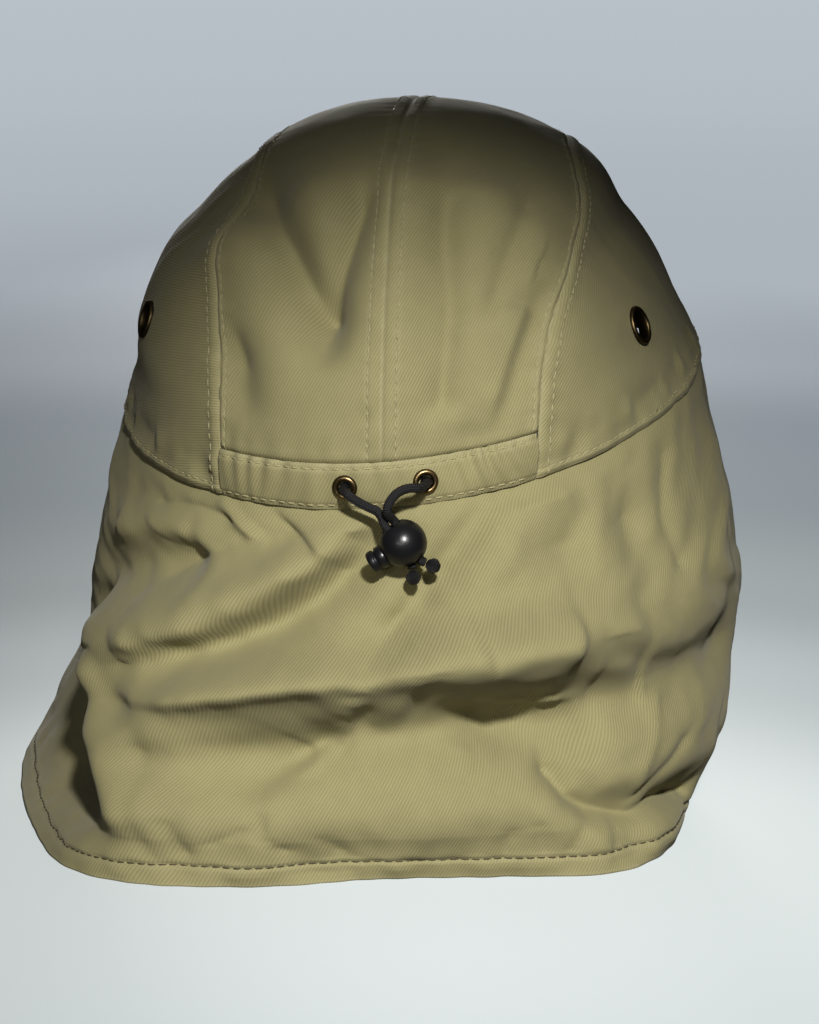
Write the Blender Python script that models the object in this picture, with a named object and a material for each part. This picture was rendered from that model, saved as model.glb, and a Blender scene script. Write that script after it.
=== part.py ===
"""Khaki cotton cap with a long neck flap, modelled as its sewn pieces and their small hardware.

The wearer faces -Y, so the back of the cap, with its drawcord, faces +Y. Left and right are those
of someone who looks at the back. Lengths are in metres and angles in degrees.
"""
import math

import bmesh
import bpy
import numpy as np
from mathutils import Matrix, Vector

# Crown and the band where it ends
BAND_HALF_WIDTH = 0.0850
BAND_HALF_LENGTH = 0.104
BAND_BACK_HEIGHT = 0.103
BAND_FRONT_HEIGHT = 0.140
BAND_LEFT_HEIGHT = 0.117
BAND_RIGHT_HEIGHT = 0.131
CROWN_TOP = 0.2095
SIDE_ROUNDNESS = 2.05
BACK_ROUNDNESS = 2.3
BACK_TUCK = 0.004
TUCK_HEIGHT = 0.014
SIDE_FLARE = 0.0038
FLARE_HEIGHT = 0.020

# Cloth, and the small gap that neighbouring pieces keep
CLOTH = 0.0012
HEM_CLOTH = 0.0024
CASING_CLOTH = 0.0026
CASING_LIFT = 0.0008
GAP = 0.0003
CASING_HEIGHT = 0.0135

# Flap: its free edges at the band and at the surface it stands on, and its hem
LEFT_EDGE_TOP = -108.0
LEFT_EDGE_FOOT = -104.0
RIGHT_EDGE_TOP = 110.0
RIGHT_EDGE_FOOT = 115.0
LEFT_CORNER_RISE = 0.28
RIGHT_CORNER_RISE = 0.30
CORNER_SPAN = 0.045
HEM_WIDTH = 0.0068
FOLD_UNIT = 0.010
FOLD_FADE_TOP = 0.167
FOLD_FADE_FOOT = 0.125

# Peak
PEAK_REACH = 0.066
PEAK_HALF_ANGLE = 56.0
PEAK_DROP = 0.016
PEAK_ARCH = 0.012
PEAK_BREADTH = 2.6
PEAK_FULLNESS = 0.6
PEAK_END = 0.6
PEAK_THICKNESS = 0.0028
PEAK_CLEARANCE = 0.0009

# Finishes as linear colours
KHAKI = (0.34, 0.31, 0.16)
BRASS = (0.30, 0.20, 0.09)
CORD_BLACK = (0.012, 0.012, 0.013)
PLASTIC_BLACK = (0.02, 0.02, 0.022)

# Eyelets: rims, holes and how far the rims stand off the cloth
VENT_RADIUS = 0.0058
VENT_HOLE_RADIUS = 0.0036
CORD_EYELET_RADIUS = 0.0036
CORD_EYELET_HOLE_RADIUS = 0.0020
EYELET_WALL = 0.0006
EYELET_LIP = 0.0010
LIP_INSIDE, LIP_FACE, LIP_OUTSIDE = 0.6, 0.9, 0.5
SEAT_STEP = 0.004
VENT_LEFT = (-0.862, 0.232)
VENT_RIGHT = (0.866, 0.186)
CORD_EYELET_LEFT = -0.122
CORD_EYELET_RIGHT = 0.148
CORD_EYELET_HEIGHT = 0.0068
BLIND_DEPTH = 0.0016

# Cord lock: a ball with one channel for both cords and a push button at right angles to it
CORD_DIAMETER = 0.0026
LOCK_RADIUS = 0.0067
LOCK_CENTRE = (0.0069, 0.1107, 0.0955)
CHANNEL_AXIS = (0.56, 0.0, -0.83)
BUTTON_AXIS = (-0.83, 0.0, -0.56)
CHANNEL_RADIUS = 0.0031
BUTTON_RADIUS = 0.0033
BUTTON_START = 0.0050
BUTTON_END = 0.0108
BUTTON_CHAMFER = 0.0006
BUTTON_CORE = 0.0004
KNOT_RADIUS = 0.0021

# Cord routes by hand, as right, back and up, from in front of each eyelet to the knot below the lock
CORD_LEFT_ROUTE = (
    (-0.0092, 0.1072, 0.1086),
    (-0.0067, 0.1084, 0.1070),
    (-0.0029, 0.1092, 0.1052),
    (-0.0004, 0.1094, 0.1041),
    (0.0009, 0.1098, 0.1024),
    (0.0020, 0.1107, 0.1002),
    (0.0057, 0.1107, 0.0947),
    (0.0094, 0.1107, 0.0892),
    (0.0095, 0.1110, 0.0883),
)
CORD_RIGHT_ROUTE = (
    (0.0112, 0.1080, 0.1106),
    (0.0085, 0.1102, 0.1110),
    (0.0056, 0.1116, 0.1100),
    (0.0036, 0.1125, 0.1078),
    (0.0027, 0.1129, 0.1052),
    (0.0032, 0.1121, 0.1035),
    (0.0044, 0.1107, 0.1018),
    (0.0081, 0.1107, 0.0963),
    (0.0118, 0.1107, 0.0908),
    (0.0131, 0.1105, 0.0901),
)
CORD_START = -0.0011
CORD_CLEAR = 0.0022
ROUTE_POINTS = 18

# Side seams as shares of the band's half width. A turn of 0 is the back band and 1 the front band.
SEAM_COLUMNS = ("turn", "left", "right")
SEAMS = (
    (0.00, 0.565, 0.510),
    (0.12, 0.580, 0.535),
    (0.24, 0.590, 0.615),
    (0.36, 0.560, 0.640),
    (0.50, 0.500, 0.560),
    (0.75, 0.470, 0.490),
    (1.00, 0.450, 0.450),
)

# Flap outline at shares of its height, as shares of the band's outline at these angles
REACH_ANGLES = (-110, -80, -60, -40, -20, 0, 20, 40, 60, 80, 110)
REACH_ROWS = (
    (0.00, (1.46, 1.38, 1.41, 1.50, 1.31, 1.13, 1.15, 1.28, 1.11, 0.88, 0.78)),
    (0.18, (1.36, 1.20, 1.06, 1.38, 1.28, 1.14, 1.15, 1.24, 1.20, 1.10, 0.95)),
    (0.36, (1.24, 1.12, 1.06, 1.40, 1.24, 1.12, 1.12, 1.20, 1.21, 1.15, 1.03)),
    (0.52, (1.14, 1.12, 1.20, 1.29, 1.24, 1.18, 1.20, 1.23, 1.22, 1.16, 1.08)),
    (0.76, (1.05, 1.07, 1.10, 1.11, 1.09, 1.07, 1.09, 1.11, 1.12, 1.10, 1.05)),
    (1.00, (1.00, 1.00, 1.00, 1.00, 1.00, 1.00, 1.00, 1.00, 1.00, 1.00, 1.00)),
)

# Folds of the flap: a path of angles and height shares, width as a height share, depth in fold units
FOLD_COLUMNS = ("path", "width", "depth")
FLAP_FOLDS = (
    (((-54, 0.58), (-34, 0.72), (-16, 0.86)), 0.070, 0.40),
    (((-44, 0.46), (-28, 0.60), (-12, 0.76), (0, 0.93)), 0.070, -0.72),
    (((-62, 0.66), (-40, 0.79)), 0.080, -0.75),
    (((-36, 0.36), (-22, 0.41), (-2, 0.49), (14, 0.44), (32, 0.36)), 0.065, -0.60),
    (((-30, 0.52), (-2, 0.61), (26, 0.52)), 0.060, 0.35),
    (((22, 0.46), (44, 0.42), (70, 0.42)), 0.085, -0.65),
    (((-30, 0.22), (26, 0.22)), 0.120, 0.45),
    (((-3, 0.47), (-8, 0.38), (-18, 0.28)), 0.035, -0.35),
    (((30, 0.27), (36, 0.17), (56, 0.12)), 0.050, -0.45),
    (((24, 1.00), (14, 0.86), (9, 0.76), (0, 0.64)), 0.060, -0.60),
    (((-33, 1.00), (-28, 0.92), (-20, 0.91)), 0.035, -0.35),
    (((-25, 1.00), (-13, 0.88)), 0.035, -0.35),
    (((-52, 0.94), (-34, 0.95)), 0.040, -0.25),
    (((36, 1.00), (34, 0.84)), 0.055, -0.30),
    (((46, 0.98), (49, 0.76)), 0.060, -0.35),
    (((-50, 0.46), (-46, 0.34), (-40, 0.25), (-36, 0.19)), 0.060, 0.70),
    (((-66, 0.52), (-60, 0.34), (-49, 0.16)), 0.080, -1.20),
)
FOLD_ASPECT = 75.0

# Dents of the crown: a path of shares across it and up it, width as a share across, depth in dent units
DENT_COLUMNS = ("path", "width", "depth")
CROWN_DENTS = (
    (((0.64, 0.72), (0.80, 0.55), (0.91, 0.34), (0.985, 0.12)), 0.150, -0.55),
    (((-0.42, 0.72), (-0.22, 0.46)), 0.080, -0.35),
    (((-0.10, 0.78), (-0.22, 0.46)), 0.070, -0.30),
    (((0.18, 0.80), (0.14, 0.16)), 0.070, -0.20),
    (((0.46, 0.46), (0.36, 0.28), (0.26, 0.10)), 0.080, -0.45),
    (((-0.52, 0.36), (-0.50, 0.28)), 0.060, -0.30),
    (((-0.84, 0.50), (-0.88, 0.30)), 0.130, 0.24),
    (((-0.60, 0.78), (-0.74, 0.62)), 0.090, -0.14),
    (((-0.97, 0.10), (-0.95, 0.20)), 0.080, -0.22),
)
DENT_ASPECT = 1.2
DENT_UNIT = 0.010

# Dents of the middle fade over this share of the half length past the widest place; those of the
# sides, beyond this share across, run on to the front
DENT_FADE = 0.333
DENT_SIDE = 0.55
DENT_SIDE_SPAN = 0.25


def through(stops, values, at):
    """Read a smooth curve through values at stops; each value is a number or an array like at."""
    at = np.asarray(at, float)
    stops = np.asarray(stops, float)
    rows = np.stack([np.broadcast_to(np.asarray(value, float), at.shape) for value in values])
    shape = (-1,) + (1,) * at.ndim
    inner = (rows[2:] - rows[:-2]) / (stops[2:] - stops[:-2]).reshape(shape)
    first = (rows[1:2] - rows[:1]) / (stops[1] - stops[0])
    last = (rows[-1:] - rows[-2:-1]) / (stops[-1] - stops[-2])
    slopes = np.concatenate([first, inner, last])
    cell = np.clip(np.searchsorted(stops, at) - 1, 0, len(stops) - 2)
    span = stops[cell + 1] - stops[cell]
    t = np.clip((at - stops[cell]) / span, 0, 1)

    def pick(table, index):
        return np.take_along_axis(table, index[None], 0)[0]

    start = pick(rows, cell) * (2 * t ** 3 - 3 * t ** 2 + 1)
    end = pick(rows, cell + 1) * (3 * t ** 2 - 2 * t ** 3)
    leave = pick(slopes, cell) * span * (t ** 3 - 2 * t ** 2 + t)
    arrive = pick(slopes, cell + 1) * span * (t ** 3 - t ** 2)
    return start + end + leave + arrive


def power(value, exponent):
    return np.sign(value) * np.abs(value) ** exponent


def creases(rows, x, y, aspect):
    """Sum of soft folds along paths; an aspect turns y into the unit of x, widths included."""
    total = np.zeros(np.broadcast(x, y).shape)
    for path, width, depth in rows:
        nearest = np.full(total.shape, np.inf)
        for (x_a, y_a), (x_b, y_b) in zip(path, path[1:]):
            run_x, run_y = x_b - x_a, (y_b - y_a) * aspect
            off_x, off_y = x - x_a, (y - y_a) * aspect
            along = np.clip((off_x * run_x + off_y * run_y) / (run_x ** 2 + run_y ** 2), 0, 1)
            apart = (off_x - along * run_x) ** 2 + (off_y - along * run_y) ** 2
            nearest = np.minimum(nearest, apart)
        total += depth * np.exp(-nearest / (width * aspect) ** 2)
    return total


def band_height(right, back):
    """Height of the band's edge under a point given as shares of the band's half sizes."""
    mean = (BAND_BACK_HEIGHT + BAND_FRONT_HEIGHT + BAND_LEFT_HEIGHT + BAND_RIGHT_HEIGHT) / 4
    sides = (BAND_LEFT_HEIGHT + BAND_RIGHT_HEIGHT) / 2
    ends = (BAND_BACK_HEIGHT + BAND_FRONT_HEIGHT) / 2
    tilt_back = (BAND_FRONT_HEIGHT - BAND_BACK_HEIGHT) / 2
    tilt_right = (BAND_RIGHT_HEIGHT - BAND_LEFT_HEIGHT) / 2
    curl = (ends - sides) / 2 * (back ** 2 - right ** 2)
    return mean - tilt_back * back + tilt_right * right + curl


def seam_share(turn, side):
    column = 2 if side > 0 else 1
    return through([row[0] for row in SEAMS], [row[column] for row in SEAMS], turn)


def crown_outward(across, back, lift):
    """Direction in which the crown's cloth is thick and its dents are pressed."""
    vector = np.stack([across / BAND_HALF_WIDTH, back / BAND_HALF_LENGTH,
                       lift / (CROWN_TOP - BAND_BACK_HEIGHT) + 0 * across], -1)
    return vector / np.linalg.norm(vector, axis=-1, keepdims=True)


def crown_point(across, turn, out=0.0):
    """Point of the crown at a share across it and a turn from the back band to the front band."""
    across, turn = np.broadcast_arrays(np.asarray(across, float), np.asarray(turn, float))
    ring = np.clip(1 - np.abs(across) ** SIDE_ROUNDNESS, 0, 1) ** (1 / SIDE_ROUNDNESS)
    back = ring * power(np.cos(math.pi * turn), 2 / BACK_ROUNDNESS)
    lift = ring * power(np.sin(math.pi * turn), 2 / BACK_ROUNDNESS)
    base = band_height(across, back)
    height = base + (CROWN_TOP - base) * lift
    near_band = np.exp(-(height - base) / TUCK_HEIGHT)
    tuck = 1 - BACK_TUCK / BAND_HALF_LENGTH * near_band * np.clip(back, 0, 1) ** 2
    dent = DENT_UNIT * creases(CROWN_DENTS, across, lift, DENT_ASPECT)
    side = np.clip((np.abs(across) - DENT_SIDE) / DENT_SIDE_SPAN, 0, 1)
    fade = np.clip(1 + (back + side) / DENT_FADE, 0, 1) * (1 - near_band)
    outward = crown_outward(across, back, lift)
    flare = SIDE_FLARE * across ** 2 * np.exp(-(height - base) / FLARE_HEIGHT)
    right = across * (BAND_HALF_WIDTH * tuck + flare)
    point = np.stack([right, back * BAND_HALF_LENGTH * tuck, height], -1)
    return point + outward * (out + dent * fade)[..., None]


def lift_turn(across, height):
    """Turn at which the back of the crown stands this high above its band."""
    ring = np.clip(1 - np.abs(across) ** SIDE_ROUNDNESS, 0, 1) ** (1 / SIDE_ROUNDNESS)
    base = band_height(across, ring)
    share = np.clip(height / (CROWN_TOP - base) / ring, 0, 1)
    return np.arcsin(share ** (BACK_ROUNDNESS / 2)) / math.pi


def corner_rise(u):
    """Share of the flap's height by which its round lower corners leave the surface."""
    left = np.clip(1 - u / CORNER_SPAN, 0, 1)
    right = np.clip(1 - (1 - u) / CORNER_SPAN, 0, 1)
    rise_left = LEFT_CORNER_RISE * (1 - np.sqrt(1 - left ** 2))
    return rise_left + RIGHT_CORNER_RISE * (1 - np.sqrt(1 - right ** 2))


def flap_reach(angle, height):
    """Flap outline at an angle and a height share, as a share of the band's outline."""
    rows = [through(REACH_ANGLES, reaches, angle) for _, reaches in REACH_ROWS]
    return through([row[0] for row in REACH_ROWS], rows, height)


def flap_frame(u, v):
    """Angle and height share of the flap at its shares round the head and down to the hem."""
    height = 1 - v * (1 - corner_rise(u))
    left = LEFT_EDGE_FOOT + (LEFT_EDGE_TOP - LEFT_EDGE_FOOT) * height
    right = RIGHT_EDGE_FOOT + (RIGHT_EDGE_TOP - RIGHT_EDGE_FOOT) * height
    return left + (right - left) * u, height


def flap_point(u, v, out=0.0):
    u, v = np.broadcast_arrays(np.asarray(u, float), np.asarray(v, float))
    angle, height = flap_frame(u, v)
    turn = np.radians(angle)
    across, back = np.sin(turn), np.cos(turn)
    base = band_height(across, back) - GAP
    fade = np.clip((1 - height) / FOLD_FADE_TOP, 0, 1) * np.clip(height / FOLD_FADE_FOOT, 0, 1)
    folds = FOLD_UNIT * creases(FLAP_FOLDS, angle, height, FOLD_ASPECT) * fade
    reach = flap_reach(angle, height)
    tuck = BACK_TUCK * np.clip(back, 0, 1) ** 2 * np.exp(-(1 - height) * base / TUCK_HEIGHT)
    direction = np.stack([across / BAND_HALF_WIDTH, back / BAND_HALF_LENGTH, 0 * across], -1)
    direction = direction / np.linalg.norm(direction, axis=-1, keepdims=True)
    half_width = BAND_HALF_WIDTH + SIDE_FLARE * across ** 2
    point = np.stack([across * half_width * reach, back * BAND_HALF_LENGTH * reach,
                      base * height], -1)
    return point + direction * (out + folds - tuck)[..., None]


def world(points):
    """The tables give right, back and up; the cap's right lies towards -X."""
    return points * np.array([-1.0, 1.0, 1.0])


def material(name, colour, roughness, metallic=0.0):
    finish = bpy.data.materials.new(name)
    finish.use_nodes = True
    shader = finish.node_tree.nodes["Principled BSDF"]
    shader.inputs["Base Color"].default_value = (*colour, 1.0)
    shader.inputs["Roughness"].default_value = roughness
    shader.inputs["Metallic"].default_value = metallic
    finish.diffuse_color = (*colour, 1.0)
    return finish


def add_object(name, mesh, colour, roughness=0.9, metallic=0.0):
    bmesh.ops.recalc_face_normals(mesh, faces=mesh.faces)
    data = bpy.data.meshes.new(name)
    mesh.to_mesh(data)
    mesh.free()
    for face in data.polygons:
        face.use_smooth = True
    piece = bpy.data.objects.new(name, data)
    piece.data.materials.append(material(name + "_finish", colour, roughness, metallic))
    bpy.context.collection.objects.link(piece)
    return piece


def shell(name, outer, inner):
    """Close two matching grids of points into one solid of cloth; repeated points are shared."""
    mesh = bmesh.new()
    rows, columns = outer.shape[:2]
    sheets = []
    for points in (outer, inner):
        seen = {}
        sheet = []
        for row in range(rows):
            for column in range(columns):
                place = tuple(round(value, 7) for value in points[row, column])
                if place not in seen:
                    seen[place] = mesh.verts.new(points[row, column])
                sheet.append(seen[place])
        sheets.append([sheet[row * columns:(row + 1) * columns] for row in range(rows)])

    def face(*corners):
        ring = list(dict.fromkeys(corners))
        if len(ring) > 2:
            mesh.faces.new(ring)

    front, back = sheets
    for row in range(rows - 1):
        for column in range(columns - 1):
            for sheet in sheets:
                face(sheet[row][column], sheet[row][column + 1],
                     sheet[row + 1][column + 1], sheet[row + 1][column])
    border = [(0, column) for column in range(columns)]
    border += [(row, columns - 1) for row in range(1, rows)]
    border += [(rows - 1, column) for column in range(columns - 2, -1, -1)]
    border += [(row, 0) for row in range(rows - 2, 0, -1)]
    for (row_a, col_a), (row_b, col_b) in zip(border, border[1:] + border[:1]):
        if front[row_a][col_a] is front[row_b][col_b]:
            continue
        face(front[row_a][col_a], front[row_b][col_b], back[row_b][col_b], back[row_a][col_a])
    return add_object(name, mesh, KHAKI)


def crown_strip(name, side, rows=26, columns=7):
    """Half of the centre strip, from above the casing over the top to the front band."""
    edge = GAP / 2 / BAND_HALF_WIDTH
    s = np.linspace(0, 1, columns)[None, :]
    foot = seam_share(SEAMS[1][0], side)
    across = side * (edge + s * (foot - 2 * edge))
    start = lift_turn(across, CASING_HEIGHT + GAP)
    turn = start + (1 - start) * np.linspace(0, 1, rows)[:, None]
    across = side * (edge + s * (seam_share(turn, side) - 2 * edge))
    outer = crown_point(across, turn)
    inner = crown_point(across, turn, -CLOTH)
    return shell(name, world(outer), world(inner))


def side_panel(name, side, rows=8, columns=27):
    """Side of the crown between a side seam and the band, drawn as rings round its lowest middle."""
    edge = GAP / 2 / BAND_HALF_WIDTH
    turn = np.linspace(0, 1, columns)[None, :]
    start = seam_share(turn, side) + edge
    ring = (1 - start ** SIDE_ROUNDNESS) ** (1 / SIDE_ROUNDNESS)
    ring = ring * np.linspace(1, 0, rows)[:, None]
    across = side * (1 - ring ** SIDE_ROUNDNESS) ** (1 / SIDE_ROUNDNESS)
    turn = np.broadcast_to(turn, across.shape)
    outer = crown_point(across, turn)
    inner = crown_point(across, turn, -CLOTH)
    return shell(name, world(outer), world(inner))


def casing(name, rows=4, columns=19):
    """Strip across the back that the drawcord runs in, between the side seams."""
    edge = GAP / BAND_HALF_WIDTH
    left, right = -seam_share(0.0, -1) + edge, seam_share(0.0, 1) - edge
    across = np.linspace(left, right, columns)[None, :]
    height = CASING_HEIGHT * np.linspace(1, 0, rows)[:, None]
    turn = lift_turn(across, height)
    across = np.broadcast_to(across, turn.shape)
    bulge = CASING_LIFT * (1 + np.sin(math.pi * np.linspace(0, 1, rows)))[:, None] / 2
    outer = crown_point(across, turn, 0 * turn + bulge)
    inner = crown_point(across, turn, 0 * turn + bulge - CASING_CLOTH)
    return shell(name, world(outer), world(inner))


def flap(name, rows=25, columns=54):
    """Neck flap with its folded hem along the free edges, standing on the hem."""
    u = np.linspace(0, 1, columns)[None, :]
    hem = HEM_WIDTH / ((BAND_BACK_HEIGHT + BAND_LEFT_HEIGHT) / 2)
    v = np.concatenate([np.linspace(0, 1 - hem, rows - 2), [1 - hem / 2, 1]])[:, None]
    outer = flap_point(u, v)
    inner = flap_point(u, v, -CLOTH)
    doubled = flap_point(u, v, -HEM_CLOTH)
    inner[-3:] = doubled[-3:]
    return shell(name, world(outer), world(inner))


def peak_point(angle, reach, out=0.0):
    """Point of the peak at an angle from the front and a share of its reach."""
    turn = np.radians(angle)
    across, front = np.sin(turn), np.cos(turn)
    base = band_height(across, -front)
    inside = np.clip(1 - (np.abs(angle) / PEAK_HALF_ANGLE) ** PEAK_BREADTH, 0, 1)
    grow = PEAK_REACH * inside ** PEAK_FULLNESS
    start = 1 + PEAK_CLEARANCE / BAND_HALF_WIDTH
    half_width = BAND_HALF_WIDTH + SIDE_FLARE * across ** 2
    forward = front * BAND_HALF_LENGTH * start + reach * grow
    height = base - PEAK_DROP * reach * grow / PEAK_REACH
    height = height - PEAK_ARCH * across ** 2 * reach + out
    return np.stack([across * half_width * start, -forward, height], -1)


def peak(name, rows=5, columns=21):
    end = PEAK_HALF_ANGLE - PEAK_END
    angle = np.linspace(-end, end, columns)[None, :]
    reach = np.linspace(0, 1, rows)[:, None]
    angle, reach = np.broadcast_arrays(angle, reach)
    outer = peak_point(angle, reach, PEAK_THICKNESS / 2)
    inner = peak_point(angle, reach, -PEAK_THICKNESS / 2)
    return shell(name, world(outer), world(inner))


def surface_seat(across, turn, out=0.0):
    """Centre and outward axis of a small round piece set in the crown."""
    centre = crown_point(across, turn, out)
    along = crown_point(across, turn + SEAT_STEP) - crown_point(across, turn - SEAT_STEP)
    wide = crown_point(across + SEAT_STEP, turn) - crown_point(across - SEAT_STEP, turn)
    axis = np.cross(wide, along)
    axis = axis / np.linalg.norm(axis)
    if np.dot(axis, centre - np.array([0, 0, BAND_LEFT_HEIGHT])) < 0:
        axis = -axis
    return Vector(world(centre)), Vector(world(axis))


def stand(centre, axis):
    """Matrix that puts a shape made round Z at a centre, along an axis."""
    return Matrix.Translation(centre) @ axis.to_track_quat("Z", "Y").to_matrix().to_4x4()


def lathe(name, profile, centre, axis, colour, roughness, metallic, steps=12):
    """Turn a closed profile of radius and height pairs round an axis."""
    mesh = bmesh.new()
    place = stand(centre, axis)
    rings = []
    for radius, height in profile:
        ring = []
        for step in range(steps):
            angle = 2 * math.pi * step / steps
            spot = Vector((radius * math.cos(angle), radius * math.sin(angle), height))
            ring.append(mesh.verts.new(place @ spot))
        rings.append(ring)
    for ring_a, ring_b in zip(rings, rings[1:] + rings[:1]):
        for step in range(steps):
            after = (step + 1) % steps
            mesh.faces.new((ring_a[step], ring_a[after], ring_b[after], ring_b[step]))
    return add_object(name, mesh, colour, roughness, metallic)


def eyelet(name, centre, axis, radius, hole, depth, inner_rim):
    """Rolled brass ring with a barrel down its hole, and a rim inside where the cloth lets it."""
    wall = hole + EYELET_WALL
    profile = [(hole, -depth), (hole, EYELET_LIP * LIP_INSIDE), (wall, EYELET_LIP),
               (radius - EYELET_WALL, EYELET_LIP * LIP_FACE), (radius, EYELET_LIP * LIP_OUTSIDE),
               (radius, GAP), (wall, GAP)]
    if inner_rim:
        under = -(CLOTH + 2 * GAP)
        profile += [(wall, under), (radius - EYELET_WALL, under), (radius - EYELET_WALL, -depth)]
    else:
        profile += [(wall, -depth)]
    return lathe(name, profile, centre, axis, BRASS, 0.38, 1.0)


def cut_hole(piece, centre, axis, radius, start, end):
    """Cut a round hole along an axis, from one distance to another, out of a piece."""
    mesh = bmesh.new()
    bmesh.ops.create_cone(mesh, cap_ends=True, segments=12, radius1=radius, radius2=radius,
                          depth=end - start)
    place = stand(centre + axis * (start + end) / 2, axis)
    bmesh.ops.transform(mesh, matrix=place, verts=mesh.verts)
    name = piece.name + "_cutter_" + str(len(piece.modifiers) + 1)
    data = bpy.data.meshes.new(name)
    mesh.to_mesh(data)
    mesh.free()
    cutter = bpy.data.objects.new(name, data)
    bpy.context.collection.objects.link(cutter)
    cutter.hide_render = True
    cutter.display_type = "WIRE"
    cut = piece.modifiers.new("hole", "BOOLEAN")
    cut.operation = "DIFFERENCE"
    cut.solver = "EXACT"
    cut.object = cutter


def set_vent(name, panel, seat):
    centre, axis = surface_seat(*seat)
    clear = VENT_HOLE_RADIUS + EYELET_WALL + GAP
    cut_hole(panel, centre, axis, clear, -3 * CLOTH, 3 * CLOTH)
    depth = CLOTH + 2 * GAP + EYELET_WALL
    eyelet(name, centre, axis, VENT_RADIUS, VENT_HOLE_RADIUS, depth, True)


def cord_seat(across):
    turn = lift_turn(np.array(across), np.array(CORD_EYELET_HEIGHT))
    return surface_seat(across, turn, CASING_LIFT)


def set_cord_eyelet(name, strip, across):
    centre, axis = cord_seat(across)
    clear = CORD_EYELET_HOLE_RADIUS + EYELET_WALL + GAP
    cut_hole(strip, centre, axis, clear, -BLIND_DEPTH, 3 * CLOTH)
    depth = BLIND_DEPTH - GAP
    eyelet(name, centre, axis, CORD_EYELET_RADIUS, CORD_EYELET_HOLE_RADIUS, depth, False)


def cord(name, seat, route):
    """Round cord out of its eyelet and along a smooth curve through a route, as a bevelled curve."""
    centre, axis = seat
    start = [world(np.array(centre + axis * reach)) for reach in (CORD_START, CORD_CLEAR)]
    points = np.concatenate([start, np.array(route)])
    steps = np.linalg.norm(np.diff(points, axis=0), axis=1)
    stops = np.concatenate([[0], np.cumsum(steps)])
    at = np.linspace(0, stops[-1], ROUTE_POINTS)
    path = world(np.stack([through(stops, points[:, axis], at) for axis in range(3)], -1))
    data = bpy.data.curves.new(name, "CURVE")
    data.dimensions = "3D"
    data.bevel_depth = CORD_DIAMETER / 2
    data.bevel_resolution = 2
    data.use_fill_caps = True
    spline = data.splines.new("POLY")
    spline.points.add(len(path) - 1)
    for point, place in zip(spline.points, path):
        point.co = (*place, 1.0)
    piece = bpy.data.objects.new(name, data)
    data.materials.append(material(name + "_finish", CORD_BLACK, 0.7))
    bpy.context.collection.objects.link(piece)
    return Vector(path[-1]), Vector(path[-1] - path[-2]).normalized()


def ball(name, centre, radius, colour, roughness, segments=18, rings=10):
    mesh = bmesh.new()
    bmesh.ops.create_uvsphere(mesh, u_segments=segments, v_segments=rings, radius=radius)
    bmesh.ops.transform(mesh, matrix=Matrix.Translation(centre), verts=mesh.verts)
    return add_object(name, mesh, colour, roughness)


def cord_lock():
    """Ball of the cord lock with its channel, and the push button in its socket."""
    centre = Vector(world(np.array(LOCK_CENTRE)))
    channel = Vector(world(np.array(CHANNEL_AXIS))).normalized()
    push = Vector(world(np.array(BUTTON_AXIS))).normalized()
    body = ball("lock_ball", centre, LOCK_RADIUS, PLASTIC_BLACK, 0.35)
    cut_hole(body, centre, channel, CHANNEL_RADIUS, -2 * LOCK_RADIUS, 2 * LOCK_RADIUS)
    socket = BUTTON_START - GAP
    cut_hole(body, centre, push, BUTTON_RADIUS + GAP, socket, 2 * LOCK_RADIUS)
    edge = BUTTON_RADIUS - BUTTON_CHAMFER
    profile = [(BUTTON_CORE, BUTTON_START), (BUTTON_RADIUS, BUTTON_START),
               (BUTTON_RADIUS, BUTTON_END - BUTTON_CHAMFER), (edge, BUTTON_END), (BUTTON_CORE, BUTTON_END)]
    lathe("lock_button", profile, centre, push, PLASTIC_BLACK, 0.4, 0.0, 16)


def cords():
    sides = (("cord_left", CORD_EYELET_LEFT, CORD_LEFT_ROUTE),
             ("cord_right", CORD_EYELET_RIGHT, CORD_RIGHT_ROUTE))
    for name, across, route in sides:
        end, heading = cord(name, cord_seat(across), route)
        knot_centre = end + heading * (KNOT_RADIUS + GAP)
        ball("knot" + name[4:], knot_centre, KNOT_RADIUS, CORD_BLACK, 0.7, segments=12, rings=8)


def stand_on_origin():
    """Parent everything to one empty that centres the cap on the origin, standing on Z = 0."""
    low = Vector((1e9, 1e9, 1e9))
    high = -low
    pieces = list(bpy.data.objects)
    for piece in pieces:
        if piece.type != "MESH" or piece.hide_render:
            continue
        for vertex in piece.data.vertices:
            low = Vector(map(min, low, vertex.co))
            high = Vector(map(max, high, vertex.co))
    origin = bpy.data.objects.new("cap_origin", None)
    bpy.context.collection.objects.link(origin)
    origin.location = (-(low.x + high.x) / 2, -(low.y + high.y) / 2, -low.z)
    for piece in pieces:
        piece.parent = origin


def main():
    for item in list(bpy.data.objects):
        bpy.data.objects.remove(item)
    crown_strip("crown_strip_left", -1)
    crown_strip("crown_strip_right", 1)
    left = side_panel("side_panel_left", -1)
    right = side_panel("side_panel_right", 1)
    back_strip = casing("drawcord_casing")
    flap("neck_flap")
    peak("peak")
    set_vent("vent_eyelet_left", left, VENT_LEFT)
    set_vent("vent_eyelet_right", right, VENT_RIGHT)
    set_cord_eyelet("cord_eyelet_left", back_strip, CORD_EYELET_LEFT)
    set_cord_eyelet("cord_eyelet_right", back_strip, CORD_EYELET_RIGHT)
    cord_lock()
    cords()
    stand_on_origin()


main()
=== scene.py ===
# %% [markdown]
# # A khaki cap with a long neck flap
# The cap is six pieces of cotton twill sewn together: a centre strip in two halves, two side panels,
# a casing for the drawcord and a neck flap, with a peak in front. Two brass vents and two brass cord
# eyelets are set in it, and a ball lock sits on its drawcord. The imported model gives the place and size
# of each piece. Here each cloth piece is made again from the same sizes, finely enough for folds, seams
# and stitches.

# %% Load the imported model
import math
from collections import namedtuple

import bmesh
import bpy
import numpy as np
from mathutils import Matrix, Vector

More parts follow.
